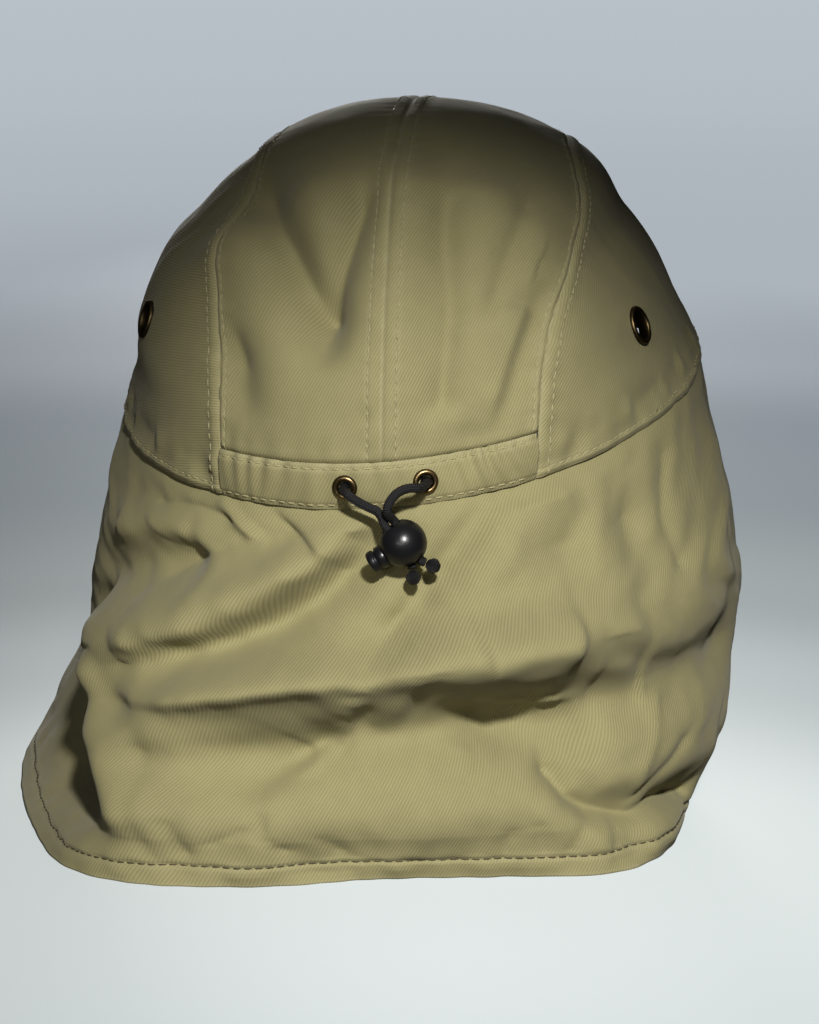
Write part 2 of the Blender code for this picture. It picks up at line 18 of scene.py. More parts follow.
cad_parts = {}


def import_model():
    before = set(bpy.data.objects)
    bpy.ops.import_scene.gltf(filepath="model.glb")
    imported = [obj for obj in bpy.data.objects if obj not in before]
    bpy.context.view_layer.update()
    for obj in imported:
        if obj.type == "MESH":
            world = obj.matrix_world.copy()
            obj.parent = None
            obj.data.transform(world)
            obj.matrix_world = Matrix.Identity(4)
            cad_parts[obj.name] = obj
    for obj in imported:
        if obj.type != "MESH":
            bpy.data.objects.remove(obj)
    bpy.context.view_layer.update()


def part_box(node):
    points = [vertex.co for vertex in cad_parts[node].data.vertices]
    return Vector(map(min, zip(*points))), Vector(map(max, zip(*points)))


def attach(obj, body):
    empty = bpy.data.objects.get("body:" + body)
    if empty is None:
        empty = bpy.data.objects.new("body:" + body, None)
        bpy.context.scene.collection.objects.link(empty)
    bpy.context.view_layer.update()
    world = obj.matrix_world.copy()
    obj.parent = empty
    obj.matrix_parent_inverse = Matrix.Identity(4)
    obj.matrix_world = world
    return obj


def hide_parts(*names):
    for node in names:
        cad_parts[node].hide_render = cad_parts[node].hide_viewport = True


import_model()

# %% [markdown]
# ## Sizes of the cap
# A cap is drawn from its head opening, which sewers call the band: an oval that rises towards the
# front. The crown is a dome on it and the flap hangs from its back and sides. All lengths are metres.
# The tables hold shares of these lengths, degrees round the head and the depths of folds in centimetres.
# Left and right are those of someone behind the cap.

# %% Band, crown and cloth sizes
BAND_HALF_WIDTH, BAND_HALF_LENGTH = 0.0850, 0.104
BAND_BACK_HEIGHT, BAND_FRONT_HEIGHT = 0.103, 0.140
BAND_LEFT_HEIGHT, BAND_RIGHT_HEIGHT = 0.117, 0.131
CROWN_TOP = 0.2095
SIDE_ROUNDNESS, BACK_ROUNDNESS = 2.05, 2.3
BACK_TUCK, TUCK_HEIGHT = 0.004, 0.014
SIDE_FLARE, FLARE_HEIGHT = 0.0038, 0.020
CLOTH, HEM_CLOTH, CASING_CLOTH, CASING_LIFT = 0.0012, 0.0024, 0.0026, 0.0008
GAP, CASING_HEIGHT, HEM_WIDTH = 0.0003, 0.0135, 0.0068
PEAK_REACH, PEAK_HALF_ANGLE, PEAK_DROP, PEAK_ARCH = 0.066, 56.0, 0.016, 0.012
PEAK_BREADTH, PEAK_FULLNESS, PEAK_END = 2.6, 0.6, 0.6
PEAK_THICKNESS, PEAK_CLEARANCE = 0.0028, 0.0009

peak_low, peak_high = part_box("peak")
band_start = BAND_HALF_LENGTH * (1 + PEAK_CLEARANCE / BAND_HALF_WIDTH)
SHIFT = np.array([(peak_low[0] + peak_high[0]) / 2, peak_low[1] + band_start + PEAK_REACH, 0.0])
print("the band's middle stands at", SHIFT.round(5))

# %% [markdown]
# ## Camera
# The cap is seen from behind and a little above, from about a metre away with a long lens. The camera
# is set first, because every fold is later compared with the picture from here. It could be placed by
# eye, but the cap's measured width and height in the picture give its distance, lens and aim directly.

# %% Camera behind the cap
CAMERA_TURN, CAMERA_RISE, CAMERA_DISTANCE, AIM_HEIGHT = 185.0, 12.0, 1.0, 0.0808
PIXELS_PER_SHARE, PICTURE_WIDTH, AIM_COLUMN, SENSOR_WIDTH = 3200.0, 819.0, 413.0, 36.0


def direction_of(turn_degrees, rise_degrees):
    """Direction from the cap to a turn round it, counted from the front, and a rise above the floor."""
    turn, rise = math.radians(turn_degrees), math.radians(rise_degrees)
    return Vector((math.sin(turn) * math.cos(rise), -math.cos(turn) * math.cos(rise), math.sin(rise)))


toward_camera = direction_of(CAMERA_TURN, CAMERA_RISE)
aim = Vector((0, 0, AIM_HEIGHT)) + Vector(SHIFT)
camera_data = bpy.data.cameras.new("camera")
camera_data.sensor_fit, camera_data.sensor_width = "HORIZONTAL", SENSOR_WIDTH
camera_data.lens = SENSOR_WIDTH * PIXELS_PER_SHARE / PICTURE_WIDTH
camera_data.shift_x = (PICTURE_WIDTH / 2 - AIM_COLUMN) / PICTURE_WIDTH
camera = bpy.data.objects.new("camera", camera_data)
camera.location = aim + toward_camera * CAMERA_DISTANCE
camera.rotation_euler = toward_camera.to_track_quat("Z", "Y").to_euler()
bpy.context.collection.objects.link(camera)
bpy.context.scene.camera = camera
print("lens", round(camera_data.lens, 1), "mm")

# %% [markdown]
# ## The crown's surface
# Each panel of a real crown is cut flat and takes its bow from the seams. It could be pulled into shape
# by a cloth simulation, but a formula keeps the seams where they belong: every point has a share across
# the cap and a turn from the back band over the top to the front band. Dents are rows of a table.

# %% Smooth curves through a few values
def through(stops, values, at):
    """Read a smooth curve through values at stops; each value is a number or an array like at."""
    at = np.asarray(at, float)
    stops = np.asarray(stops, float)
    rows = np.stack([np.broadcast_to(np.asarray(value, float), at.shape) for value in values])
    shape = (-1,) + (1,) * at.ndim
    inner = (rows[2:] - rows[:-2]) / (stops[2:] - stops[:-2]).reshape(shape)
    first = (rows[1:2] - rows[:1]) / (stops[1] - stops[0])
    last = (rows[-1:] - rows[-2:-1]) / (stops[-1] - stops[-2])
    slopes = np.concatenate([first, inner, last])
    cell = np.clip(np.searchsorted(stops, at) - 1, 0, len(stops) - 2)
    span = stops[cell + 1] - stops[cell]
    t = np.clip((at - stops[cell]) / span, 0, 1)

    def pick(table, index):
        return np.take_along_axis(table, index[None], 0)[0]

    start = pick(rows, cell) * (2 * t ** 3 - 3 * t ** 2 + 1)
    end = pick(rows, cell + 1) * (3 * t ** 2 - 2 * t ** 3)
    leave = pick(slopes, cell) * span * (t ** 3 - 2 * t ** 2 + t)
    arrive = pick(slopes, cell + 1) * span * (t ** 3 - t ** 2)
    return start + end + leave + arrive


def bell(apart, width):
    """1 where apart is nothing, falling off smoothly within this width."""
    return np.exp(-(apart / width) ** 2)


def nearest_to(path, x, y, aspect):
    """Distance to a path with y in the unit of x, the side of it, and the share of its length to an end."""
    shape = np.broadcast(x, y).shape
    nearest, side, walked = np.full(shape, np.inf), np.zeros(shape), np.zeros(shape)
    length = 0.0
    for (x_a, y_a), (x_b, y_b) in zip(path, path[1:]):
        run_x, run_y = x_b - x_a, (y_b - y_a) * aspect
        off_x, off_y = x - x_a, (y - y_a) * aspect
        run = math.hypot(run_x, run_y)
        along = np.clip((off_x * run_x + off_y * run_y) / run ** 2, 0, 1)
        apart = np.hypot(off_x - along * run_x, off_y - along * run_y)
        closer = apart < nearest
        side = np.where(closer, run_x * off_y - run_y * off_x, side)
        walked = np.where(closer, length + along * run, walked)
        nearest = np.minimum(nearest, apart)
        length += run
    return nearest, side, np.minimum(walked, length - walked) / length


def creases(rows, x, y, aspect):
    """Sum of soft folds along paths."""
    total = np.zeros(np.broadcast(x, y).shape)
    for path, width, depth in rows:
        total += depth * bell(nearest_to(path, x, y, aspect)[0], width * aspect)
    return total


def sharp_creases(rows, x, y, aspect, soft=0.25):
    """Sum of folds with a sharp line in the middle, as pressed cloth keeps them."""
    total = np.zeros(np.broadcast(x, y).shape)
    for path, width, depth in rows:
        apart = nearest_to(path, x, y, aspect)[0] / (width * aspect)
        total += depth * np.exp(soft - np.sqrt(apart ** 2 + soft ** 2))
    return total


LIP_END, THINNEST = 0.14, 0.4


def lips(rows, x, y, aspect):
    """Sum of one-sided folds, gentle left of their path, steep right of it and thinner at its ends."""
    total = np.zeros(np.broadcast(x, y).shape)
    for path, gentle, steep, depth in rows:
        apart, side, to_end = nearest_to(path, x, y, aspect)
        width = np.where(side > 0, gentle, steep) * aspect
        total += depth * np.clip(to_end / LIP_END, THINNEST, 1) * bell(apart, width)
    return total


# %% Crown and band as formulas
# Rows of the side seams: turn, then how far across the left and the right seam stand.
SEAMS = (
    (0.00, 0.565, 0.510),
    (0.12, 0.580, 0.535),
    (0.24, 0.590, 0.615),
    (0.36, 0.560, 0.640),
    (0.50, 0.500, 0.560),
    (0.75, 0.470, 0.490),
    (1.00, 0.450, 0.450),
)
# Rows of dents: path of shares across and up, width, depth in centimetres.
CROWN_DENTS = (
    (((0.78, 0.575), (0.91, 0.34), (0.985, 0.12)), 0.140, -0.55),
    (((-0.42, 0.72), (-0.22, 0.46)), 0.080, -0.35),
    (((-0.10, 0.78), (-0.22, 0.46)), 0.070, -0.30),
    (((0.18, 0.80), (0.14, 0.16)), 0.070, -0.20),
    (((0.46, 0.46), (0.36, 0.28), (0.26, 0.10)), 0.080, -0.45),
    (((-0.52, 0.36), (-0.50, 0.28)), 0.060, -0.30),
    (((-0.84, 0.50), (-0.88, 0.30)), 0.130, 0.24),
    (((-0.60, 0.78), (-0.74, 0.62)), 0.090, -0.14),
    (((-0.97, 0.10), (-0.95, 0.20)), 0.080, -0.22),
)
DENT_ASPECT, FOLD_UNIT = 1.2, 0.010
DENT_FADE, DENT_SIDE, DENT_SIDE_SPAN = 0.333, 0.55, 0.25


def power(value, exponent):
    return np.sign(value) * np.abs(value) ** exponent


def band_height(right, back):
    """Height of the band's edge under a point given as shares of the band's half sizes."""
    mean = (BAND_BACK_HEIGHT + BAND_FRONT_HEIGHT + BAND_LEFT_HEIGHT + BAND_RIGHT_HEIGHT) / 4
    sides = (BAND_LEFT_HEIGHT + BAND_RIGHT_HEIGHT) / 2
    ends = (BAND_BACK_HEIGHT + BAND_FRONT_HEIGHT) / 2
    tilt_back = (BAND_FRONT_HEIGHT - BAND_BACK_HEIGHT) / 2
    tilt_right = (BAND_RIGHT_HEIGHT - BAND_LEFT_HEIGHT) / 2
    curl = (ends - sides) / 2 * (back ** 2 - right ** 2)
    return mean - tilt_back * back + tilt_right * right + curl


def seam_share(turn, side):
    """How far across the side seam stands; side is -1 for the left one and 1 for the right one."""
    column = 2 if side > 0 else 1
    return through([row[0] for row in SEAMS], [row[column] for row in SEAMS], turn)


def unit(vectors):
    return vectors / np.linalg.norm(vectors, axis=-1, keepdims=True)


def crown_outward(across, back, lift):
    return unit(np.stack([across / BAND_HALF_WIDTH, back / BAND_HALF_LENGTH,
                          lift / (CROWN_TOP - BAND_BACK_HEIGHT) + 0 * across], -1))


def ring_share(across):
    """Share of the full ring from back to front that is left this far across."""
    return np.clip(1 - np.abs(across) ** SIDE_ROUNDNESS, 0, 1) ** (1 / SIDE_ROUNDNESS)


def crown_place(across, turn):
    """Band share to the back, lift share, band height and height above it, of a crown point."""
    ring = ring_share(across)
    back = ring * power(np.cos(math.pi * turn), 2 / BACK_ROUNDNESS)
    lift = ring * power(np.sin(math.pi * turn), 2 / BACK_ROUNDNESS)
    base = band_height(across, back)
    return back, lift, base, (CROWN_TOP - base) * lift


def crown_point(across, turn, out=0.0):
    """Point of the smooth crown, as right, back and up, at a share across and a turn."""
    across, turn = np.broadcast_arrays(np.asarray(across, float), np.asarray(turn, float))
    back, lift, base, above = crown_place(across, turn)
    near_band = np.exp(-above / TUCK_HEIGHT)
    tuck = 1 - BACK_TUCK / BAND_HALF_LENGTH * near_band * np.clip(back, 0, 1) ** 2
    dent = FOLD_UNIT * creases(CROWN_DENTS, across, lift, DENT_ASPECT)
    side = np.clip((np.abs(across) - DENT_SIDE) / DENT_SIDE_SPAN, 0, 1)
    fade = np.clip(1 + (back + side) / DENT_FADE, 0, 1) * (1 - near_band)
    flare = SIDE_FLARE * across ** 2 * np.exp(-above / FLARE_HEIGHT)
    right = across * (BAND_HALF_WIDTH * tuck + flare)
    point = np.stack([right, back * BAND_HALF_LENGTH * tuck, base + above], -1)
    return point + crown_outward(across, back, lift) * (out + dent * fade)[..., None]


def lift_turn(across, height):
    """Turn at which the back of the crown stands this high above its band."""
    ring = ring_share(across)
    base = band_height(across, ring)
    share = np.clip(height / (CROWN_TOP - base) / ring, 0, 1)
    return np.arcsin(share ** (BACK_ROUNDNESS / 2)) / math.pi


def world(points):
    """Right, back and up turned into the frame's axes; the cap's right lies towards -X."""
    return points * np.array([-1.0, 1.0, 1.0]) + SHIFT


def world_axis(vector):
    return Vector(np.asarray(vector) * np.array([-1.0, 1.0, 1.0])).normalized()


print("crown top", world(crown_point(0.0, 0.5)).round(4))

# %% [markdown]
# ## Where the round pieces sit
# An eyelet is pressed into the cloth, so its axis stands square to it. The seat could be typed in as
# numbers, but reading it off the crown's own formula keeps each eyelet flush when the crown changes.

# %% Seats of the eyelets
VENT_RADIUS, CORD_EYELET_RADIUS, CORD_EYELET_HOLE_RADIUS = 0.0058, 0.0036, 0.0020
EYELET_WALL, EYELET_LIP, SEAT_STEP, BLIND_DEPTH = 0.0006, 0.0010, 0.004, 0.0016
VENT_LEFT, VENT_RIGHT = (-0.862, 0.232), (0.866, 0.186)
CORD_EYELET_LEFT, CORD_EYELET_RIGHT, CORD_EYELET_HEIGHT = -0.122, 0.148, 0.0068


def surface_seat(across, turn, out=0.0):
    """Centre and outward axis, in the frame, of a small round piece set in the crown."""
    centre = crown_point(across, turn, out)
    along = crown_point(across, turn + SEAT_STEP) - crown_point(across, turn - SEAT_STEP)
    wide = crown_point(across + SEAT_STEP, turn) - crown_point(across - SEAT_STEP, turn)
    axis = np.cross(wide, along)
    if np.dot(axis, centre - np.array([0, 0, BAND_LEFT_HEIGHT])) < 0:
        axis = -axis
    return Vector(world(centre)), world_axis(axis)


def cord_seat(across):
    turn = lift_turn(np.array(across), np.array(CORD_EYELET_HEIGHT))
    return surface_seat(across, turn, CASING_LIFT)


for across in (CORD_EYELET_LEFT, CORD_EYELET_RIGHT):
    print("cord eyelet at", [round(v, 4) for v in cord_seat(across)[0]])

# %% [markdown]
# ## Drawcord
# The two ends of one thin elastic cord come out of the eyelets, cross over each other and run through
# the ball lock. A limp cord of this size bends in soft curves, so each route is one smooth curve
# through a few points. A bevelled curve would do for its shape, but a swept tube also carries a map
# along and round the cord, which the braid of its cover needs.

# %% Routes of the two cord ends
CORD_DIAMETER, CORD_START, CORD_CLEAR, KNOT_RADIUS = 0.0026, -0.0011, 0.0022, 0.0021
CORD_LEFT_ROUTE = (
    (-0.0092, 0.1072, 0.1086),
    (-0.0067, 0.1084, 0.1070),
    (-0.0029, 0.1092, 0.1052),
    (-0.0004, 0.1094, 0.1041),
    (0.0009, 0.1098, 0.1024),
    (0.0020, 0.1107, 0.1002),
    (0.0057, 0.1107, 0.0947),
    (0.0094, 0.1107, 0.0892),
    (0.0095, 0.1110, 0.0883),
)
CORD_RIGHT_ROUTE = (
    (0.0112, 0.1080, 0.1106),
    (0.0085, 0.1102, 0.1110),
    (0.0056, 0.1116, 0.1100),
    (0.0036, 0.1125, 0.1078),
    (0.0027, 0.1129, 0.1052),
    (0.0032, 0.1121, 0.1035),
    (0.0044, 0.1107, 0.1018),
    (0.0081, 0.1107, 0.0963),
    (0.0118, 0.1107, 0.0908),
    (0.0131, 0.1105, 0.0901),
)


def runs_along(path):
    """Distance from a path's start to each of its points."""
    return np.concatenate([[0], np.cumsum(np.linalg.norm(np.diff(path, axis=0), axis=1))])


def path_length(path):
    return float(runs_along(path)[-1])


def smooth_path(stops, points, at):
    return np.stack([through(stops, points[:, side], at) for side in range(3)], -1)


def cord_path(across, route, count=34):
    """Evenly spaced points of a smooth curve out of an eyelet and along a route, in the frame."""
    centre, axis = cord_seat(across)
    start = [np.array(centre + axis * reach) for reach in (CORD_START, CORD_CLEAR)]
    points = np.concatenate([start, world(np.array(route))])
    stops = runs_along(points)
    return smooth_path(stops, points, np.linspace(0, stops[-1], count))


cord_left_path = cord_path(CORD_EYELET_LEFT, CORD_LEFT_ROUTE)
cord_right_path = cord_path(CORD_EYELET_RIGHT, CORD_RIGHT_ROUTE)
print("cord ends", round(path_length(cord_left_path), 4), round(path_length(cord_right_path), 4), "m")

# %% [markdown]
# ## From points to meshes
# Every piece below is a grid of points, a section turned round an axis or one swept along a path. Small
# helpers turn such points into closed meshes, so that no modifier is left on them. A map in metres goes
# with each cloth grid, because a weave has a real size whatever the piece's size is.

# %% Mesh helpers
TURNED_MAP_RADIUS = VENT_RADIUS


def tidy_mesh(mesh, merge=1e-6):
    """Merge points that fall together, drop faces without area and turn all faces outwards."""
    work = bmesh.new()
    work.from_mesh(mesh)
    bmesh.ops.remove_doubles(work, verts=work.verts, dist=merge)
    bmesh.ops.dissolve_degenerate(work, edges=work.edges, dist=1e-7)
    bmesh.ops.recalc_face_normals(work, faces=work.faces)
    work.to_mesh(mesh)
    work.free()


def new_mesh(name, points, faces):
    mesh = bpy.data.meshes.new(name)
    mesh.from_pydata(np.asarray(points, float).reshape(-1, 3).tolist(), [], faces)
    return mesh


def ring_faces(rings, sides, first=0, closed=False):
    """Quads between rings of points, then a cap at both ends, or quads back to the first ring."""
    index = first + np.arange(rings * sides).reshape(rings, sides)
    caps = [] if closed else [index[0, ::-1].tolist(), index[-1].tolist()]
    if closed:
        index = np.concatenate([index, index[:1]])
    after = np.roll(index, -1, 1)
    quads = np.stack([index[:-1], after[:-1], after[1:], index[1:]], -1)
    return quads.reshape(-1, 4).tolist() + caps


def add_piece(name, mesh):
    """Tidy a mesh, shade it smooth and put it in the scene as a piece of the cap."""
    tidy_mesh(mesh)
    mesh.polygons.foreach_set("use_smooth", np.ones(len(mesh.polygons), bool))
    piece = bpy.data.objects.new(name, mesh)
    bpy.context.collection.objects.link(piece)
    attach(piece, "root")
    return piece


def set_map(mesh, values):
    """Give each point's two map values to the corners that use it."""
    corners = np.empty(len(mesh.loops), int)
    mesh.loops.foreach_get("vertex_index", corners)
    layer = mesh.uv_layers.new(name="weave")
    layer.data.foreach_set("uv", np.asarray(values, float)[corners].ravel())


def set_mask(mesh, label, values):
    """Give each point one value for a finish to read."""
    mesh.attributes.new(label, "FLOAT", "POINT").data.foreach_set("value", values)


Sewn = namedtuple("Sewn", "piece outer lean apart")


def cloth_piece(name, cloth, outer, inner, weave, wear, **apart):
    """Close two matching grids into one piece of cloth, and keep how far each point is from its edges."""
    rows, columns = outer.shape[:2]
    count = rows * columns
    index = np.arange(count).reshape(rows, columns)
    quads = np.stack([index[:-1, :-1], index[:-1, 1:], index[1:, 1:], index[1:, :-1]], -1)
    quads = quads.reshape(-1, 4)
    border = np.concatenate([index[0, :-1], index[:-1, -1], index[-1, :0:-1], index[:0:-1, 0]])
    after = np.roll(border, -1)
    sides = np.stack([after, border, border + count, after + count], -1)
    faces = np.concatenate([quads, quads[:, ::-1] + count, sides])
    mesh = new_mesh(name, world(np.stack([outer, inner])), faces.tolist())
    set_map(mesh, np.tile(weave.reshape(-1, 2), (2, 1)))
    set_mask(mesh, "wear", np.tile(np.clip(wear, 0, 1).ravel(), 2))
    # Painted shade: the inner side of the cloth is marked, so that its colour is darkened there like the
    # shade inside the cap.
    set_mask(mesh, "painted_inner_shade", np.repeat([0.0, 1.0], count))
    piece = add_piece(name, mesh)
    piece.data.materials.append(cloth)
    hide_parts(name.replace("_cloth", ""))
    return Sewn(piece, outer, outer - inner, apart)


def turned_mesh(name, profile, centre, axis, steps):
    """Turn a closed profile of radius and height pairs round an axis."""
    place = Matrix.Translation(centre) @ axis.to_track_quat("Z", "Y").to_matrix().to_4x4()
    angles = np.linspace(0, 2 * math.pi, steps, endpoint=False)
    points = [place @ Vector((r * math.cos(a), r * math.sin(a), h)) for r, h in profile for a in angles]
    mesh = new_mesh(name, points, ring_faces(len(profile), steps, closed=True))
    runs = np.cumsum([0] + [math.dist(a, b) for a, b in zip(profile, profile[1:])])
    set_map(mesh, [(a * TURNED_MAP_RADIUS, run) for run in runs for a in angles])
    return mesh


def lathe(name, profile, centre, axis, steps):
    return add_piece(name, turned_mesh(name, profile, centre, axis, steps))


def tube(name, path, radius, sides=20):
    """Sweep a round section along a path, with round ends and a map in metres."""
    along, runs = unit(np.gradient(path, axis=0)), runs_along(path)
    side = np.cross(along[0], [0.3, 0.9, 0.2])
    rings, weave = [], []
    angles = np.linspace(0, 2 * math.pi, sides, endpoint=False)
    for step, (point, heading, run) in enumerate(zip(path, along, runs)):
        side = unit(side - heading * np.dot(side, heading))
        section = np.outer(np.cos(angles), side) + np.outer(np.sin(angles), np.cross(heading, side))
        for share in {0: (0.55, 0.9), len(path) - 1: (0.9, 0.55)}.get(step, (1.0,)):
            rings.append(point + radius * share * section)
            weave.append(np.stack([angles * radius, np.full(sides, run)], -1))
    mesh = new_mesh(name, rings, ring_faces(len(rings), sides))
    set_map(mesh, np.concatenate(weave))
    return add_piece(name, mesh)


def fine_path(path, times=5):
    """The same smooth path with more points, for a tube without flats."""
    last = len(path) - 1
    return smooth_path(np.arange(len(path)), path, np.linspace(0, last, last * times + 1))


# %% Cords and their end beads
def end_bead(name, path):
    """Bead that the cord's melted end sets into, a little rough, just past the end of its cord."""
    heading = Vector(path[-1] - path[-2]).normalized()
    centre = Vector(path[-1]) + heading * (KNOT_RADIUS + GAP)
    profile = []
    for step in range(25):
        slope = math.pi * step / 24
        swell = 1 + 0.05 * math.sin(5 * slope) - 0.03 * math.sin(9 * slope)
        outwards = max(KNOT_RADIUS * math.sin(slope) * swell, 0.00002)
        profile.append((outwards, -KNOT_RADIUS * math.cos(slope)))
    return lathe(name, profile, centre, heading, 40)


cord_left = tube("drawcord_end_left", fine_path(cord_left_path), CORD_DIAMETER / 2)
cord_right = tube("drawcord_end_right", fine_path(cord_right_path), CORD_DIAMETER / 2)
bead_left = end_bead("cord_bead_left", cord_left_path)
bead_right = end_bead("cord_bead_right", cord_right_path)
for piece, node_name in ((cord_left, "cord_left"), (cord_right, "cord_right"),
                         (bead_left, "knot_left"), (bead_right, "knot_right")):
    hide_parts(node_name)
print("cord pieces", len(cord_left.data.vertices) + len(cord_right.data.vertices), "points")

# %% [markdown]
# ## Studio
# The cap stands on a pale sweep, which is floor and wall in one piece without a corner. A plane and a
# backdrop would do from one side only, so the sweep is a wide bowl that closes the view all round. It
# glows for the eye alone, with painted light brightest near the cap and painted shade towards one side.
# The main lamp stands above the camera and aims low, so that the soft edge of its cone fades across the
# crown and leaves the top in half shade. A weak soft box fills the shadows, and a low lamp in front lights
# the peak. One big lamp would be simpler, but it would flatten the folds of the flap.

# %% Sweep
FLOOR_RADIUS, SWEEP_RADIUS, WALL_TOP = 2.4, 1.2, 2.2


def sweep():
    steps, profile = 96, [(0.001, 0.0), (0.35, 0.0), (FLOOR_RADIUS, 0.0)]
    for step in range(1, 21):
        slope = math.pi / 2 * step / 20
        outwards = FLOOR_RADIUS + SWEEP_RADIUS * math.sin(slope)
        profile.append((outwards, SWEEP_RADIUS * (1 - math.cos(slope))))
    profile.append((FLOOR_RADIUS + SWEEP_RADIUS, WALL_TOP))
    angles = np.linspace(0, 2 * math.pi, steps, endpoint=False)
    points = [(r * math.cos(a), r * math.sin(a), h) for r, h in profile for a in angles]
    open_faces = ring_faces(len(profile), steps)[:-2]
    mesh = new_mesh("studio_sweep", points, open_faces + [list(range(steps))])
    mesh.polygons.foreach_set("use_smooth", np.ones(len(mesh.polygons), bool))
    bowl = bpy.data.objects.new("studio_sweep", mesh)
    bpy.context.collection.objects.link(bowl)
    return bowl


studio_sweep = sweep()
print("sweep", len(studio_sweep.data.polygons), "faces")


# %% Node helpers
def put(tree, socket, value):
    """Link a socket to a value from another node, or set it to a plain value."""
    if isinstance(value, bpy.types.NodeSocket):
        tree.links.new(value, socket)
    elif value is not None:
        socket.default_value = value


def node(tree, kind, *values, **settings):
    """Add a node, set its properties and fill its first inputs in order."""
    made = tree.nodes.new(kind)
    for name, value in settings.items():
        setattr(made, name, value)
    for socket, value in zip(made.inputs, values):
        put(tree, socket, value)
    return made


def maths(tree, operation, *values):
    return node(tree, "ShaderNodeMath", *values, operation=operation).outputs[0]


def fill(tree, made, values):
    """Fill a node's inputs by their names or numbers."""
    for label, value in values.items():
        put(tree, made.inputs[label], value)
    return made.outputs


def blend_colours(tree, factor, first, second):
    mixed = node(tree, "ShaderNodeMix", data_type="RGBA")
    return fill(tree, mixed, {0: factor, 6: first, 7: second})[2]


def read_mask(tree, label):
    """Value that set_mask has given to each point."""
    made = node(tree, "ShaderNodeAttribute", attribute_type="GEOMETRY", attribute_name=label)
    return made.outputs["Fac"]


def add_bump(tree, shader, height, distance, strength=1.0):
    bump = node(tree, "ShaderNodeBump")
    normal = fill(tree, bump, {"Strength": strength, "Distance": distance, "Height": height})[0]
    put(tree, shader.inputs["Normal"], normal)


def new_material(name, roughness, metallic=0.0):
    made = bpy.data.materials.new(name)
    made.use_nodes = True
    shader = made.node_tree.nodes["Principled BSDF"]
    fill(made.node_tree, shader, {"Roughness": roughness, "Metallic": metallic})
    return made, made.node_tree, shader


# %% Sweep finish, lamps and sky
# Painted light: tones of the sweep's glow, brightest near the cap.
SWEEP_TONES = (
    (0.0, (0.58, 0.625, 0.625, 1)), (0.055, (0.55, 0.595, 0.59, 1)), (0.09, (0.39, 0.425, 0.43, 1)),
    (0.12, (0.29, 0.32, 0.325, 1)), (0.165, (0.225, 0.255, 0.275, 1)), (0.205, (0.225, 0.255, 0.28, 1)),
    (0.26, (0.31, 0.34, 0.37, 1)), (0.345, (0.38, 0.415, 0.45, 1)), (1.0, (0.45, 0.49, 0.53, 1)),
)
SWEEP_GLOW, SWEEP_BOUNCE, PAINTED_LIGHT_MIDDLE = 0.98, (0.09, 0.09, 0.088, 1), (0.0, -0.25, 0.0)
DIM_SIDE, DIM_NEAR, DIM_HEADING = (-0.05, 0.20, 0.0, 0.36), (0.10, 0.50, 1.0, 0.0), (0.996, 0.087, 0.0)


def paint_sweep():
    """Painted light: its glow is palest near its middle and greyer outwards, with painted shade dimming one
    side; it glows for the eye and gives little light itself.
    """
    made, tree, shader = new_material("sweep_paper_painted_light", 0.9)
    place = node(tree, "ShaderNodeTexCoord").outputs["Object"]
    place = node(tree, "ShaderNodeVectorMath", place, PAINTED_LIGHT_MIDDLE, operation="ADD").outputs[0]
    apart = node(tree, "ShaderNodeVectorMath", place, operation="LENGTH").outputs["Value"]
    share = maths(tree, "DIVIDE", apart, FLOOR_RADIUS + SWEEP_RADIUS + 0.4)
    ramp = node(tree, "ShaderNodeValToRGB", share)
    ramp.color_ramp.interpolation = "EASE"
    elements = ramp.color_ramp.elements
    elements[0].position, elements[0].color = SWEEP_TONES[0]
    elements[1].position, elements[1].color = SWEEP_TONES[-1]
    for position, colour in SWEEP_TONES[1:-1]:
        elements.new(position).color = colour
    seen = node(tree, "ShaderNodeLightPath").outputs["Is Camera Ray"]
    aside = node(tree, "ShaderNodeVectorMath", place, DIM_HEADING, operation="DOT_PRODUCT").outputs["Value"]
    dims = []
    for value, limits in ((aside, DIM_SIDE), (share, DIM_NEAR)):
        eased = node(tree, "ShaderNodeMapRange", value, *limits, interpolation_type="SMOOTHSTEP")
        dims.append(eased.outputs[0])
    dim = maths(tree, "MULTIPLY", *dims)
    # Painted shade: the glow dims towards one side of the cap.
    glow = maths(tree, "MULTIPLY_ADD", dim, -SWEEP_GLOW, SWEEP_GLOW)
    shader.inputs["Base Color"].default_value = SWEEP_BOUNCE
    put(tree, shader.inputs["Emission Color"], ramp.outputs["Color"])
    put(tree, shader.inputs["Emission Strength"], maths(tree, "MULTIPLY", seen, glow))
    studio_sweep.data.materials.append(made)


LAMP_COLOUR = (1.0, 0.98, 0.95)


def lamp(name, turn, rise, distance, target, data, power_watts):
    """Aim a lamp at a height on the cap's middle axis from this turn and rise."""
    data.energy, data.color = power_watts, LAMP_COLOUR
    made = bpy.data.objects.new(name, data)
    toward = direction_of(turn, rise)
    made.location = Vector(SHIFT) + Vector((0, 0, target)) + toward * distance
    made.rotation_euler = toward.to_track_quat("Z", "Y").to_euler()
    made.visible_camera = False
    bpy.context.collection.objects.link(made)


def soft_box(width, height):
    data = bpy.data.lights.new("soft_box", "AREA")
    data.shape, data.size, data.size_y = "RECTANGLE", width, height
    return data


def soft_spot(spread_degrees, bulb_radius):
    data = bpy.data.lights.new("soft_spot", "SPOT")
    data.spot_size, data.spot_blend = math.radians(spread_degrees), 0.6
    data.shadow_soft_size = bulb_radius
    return data


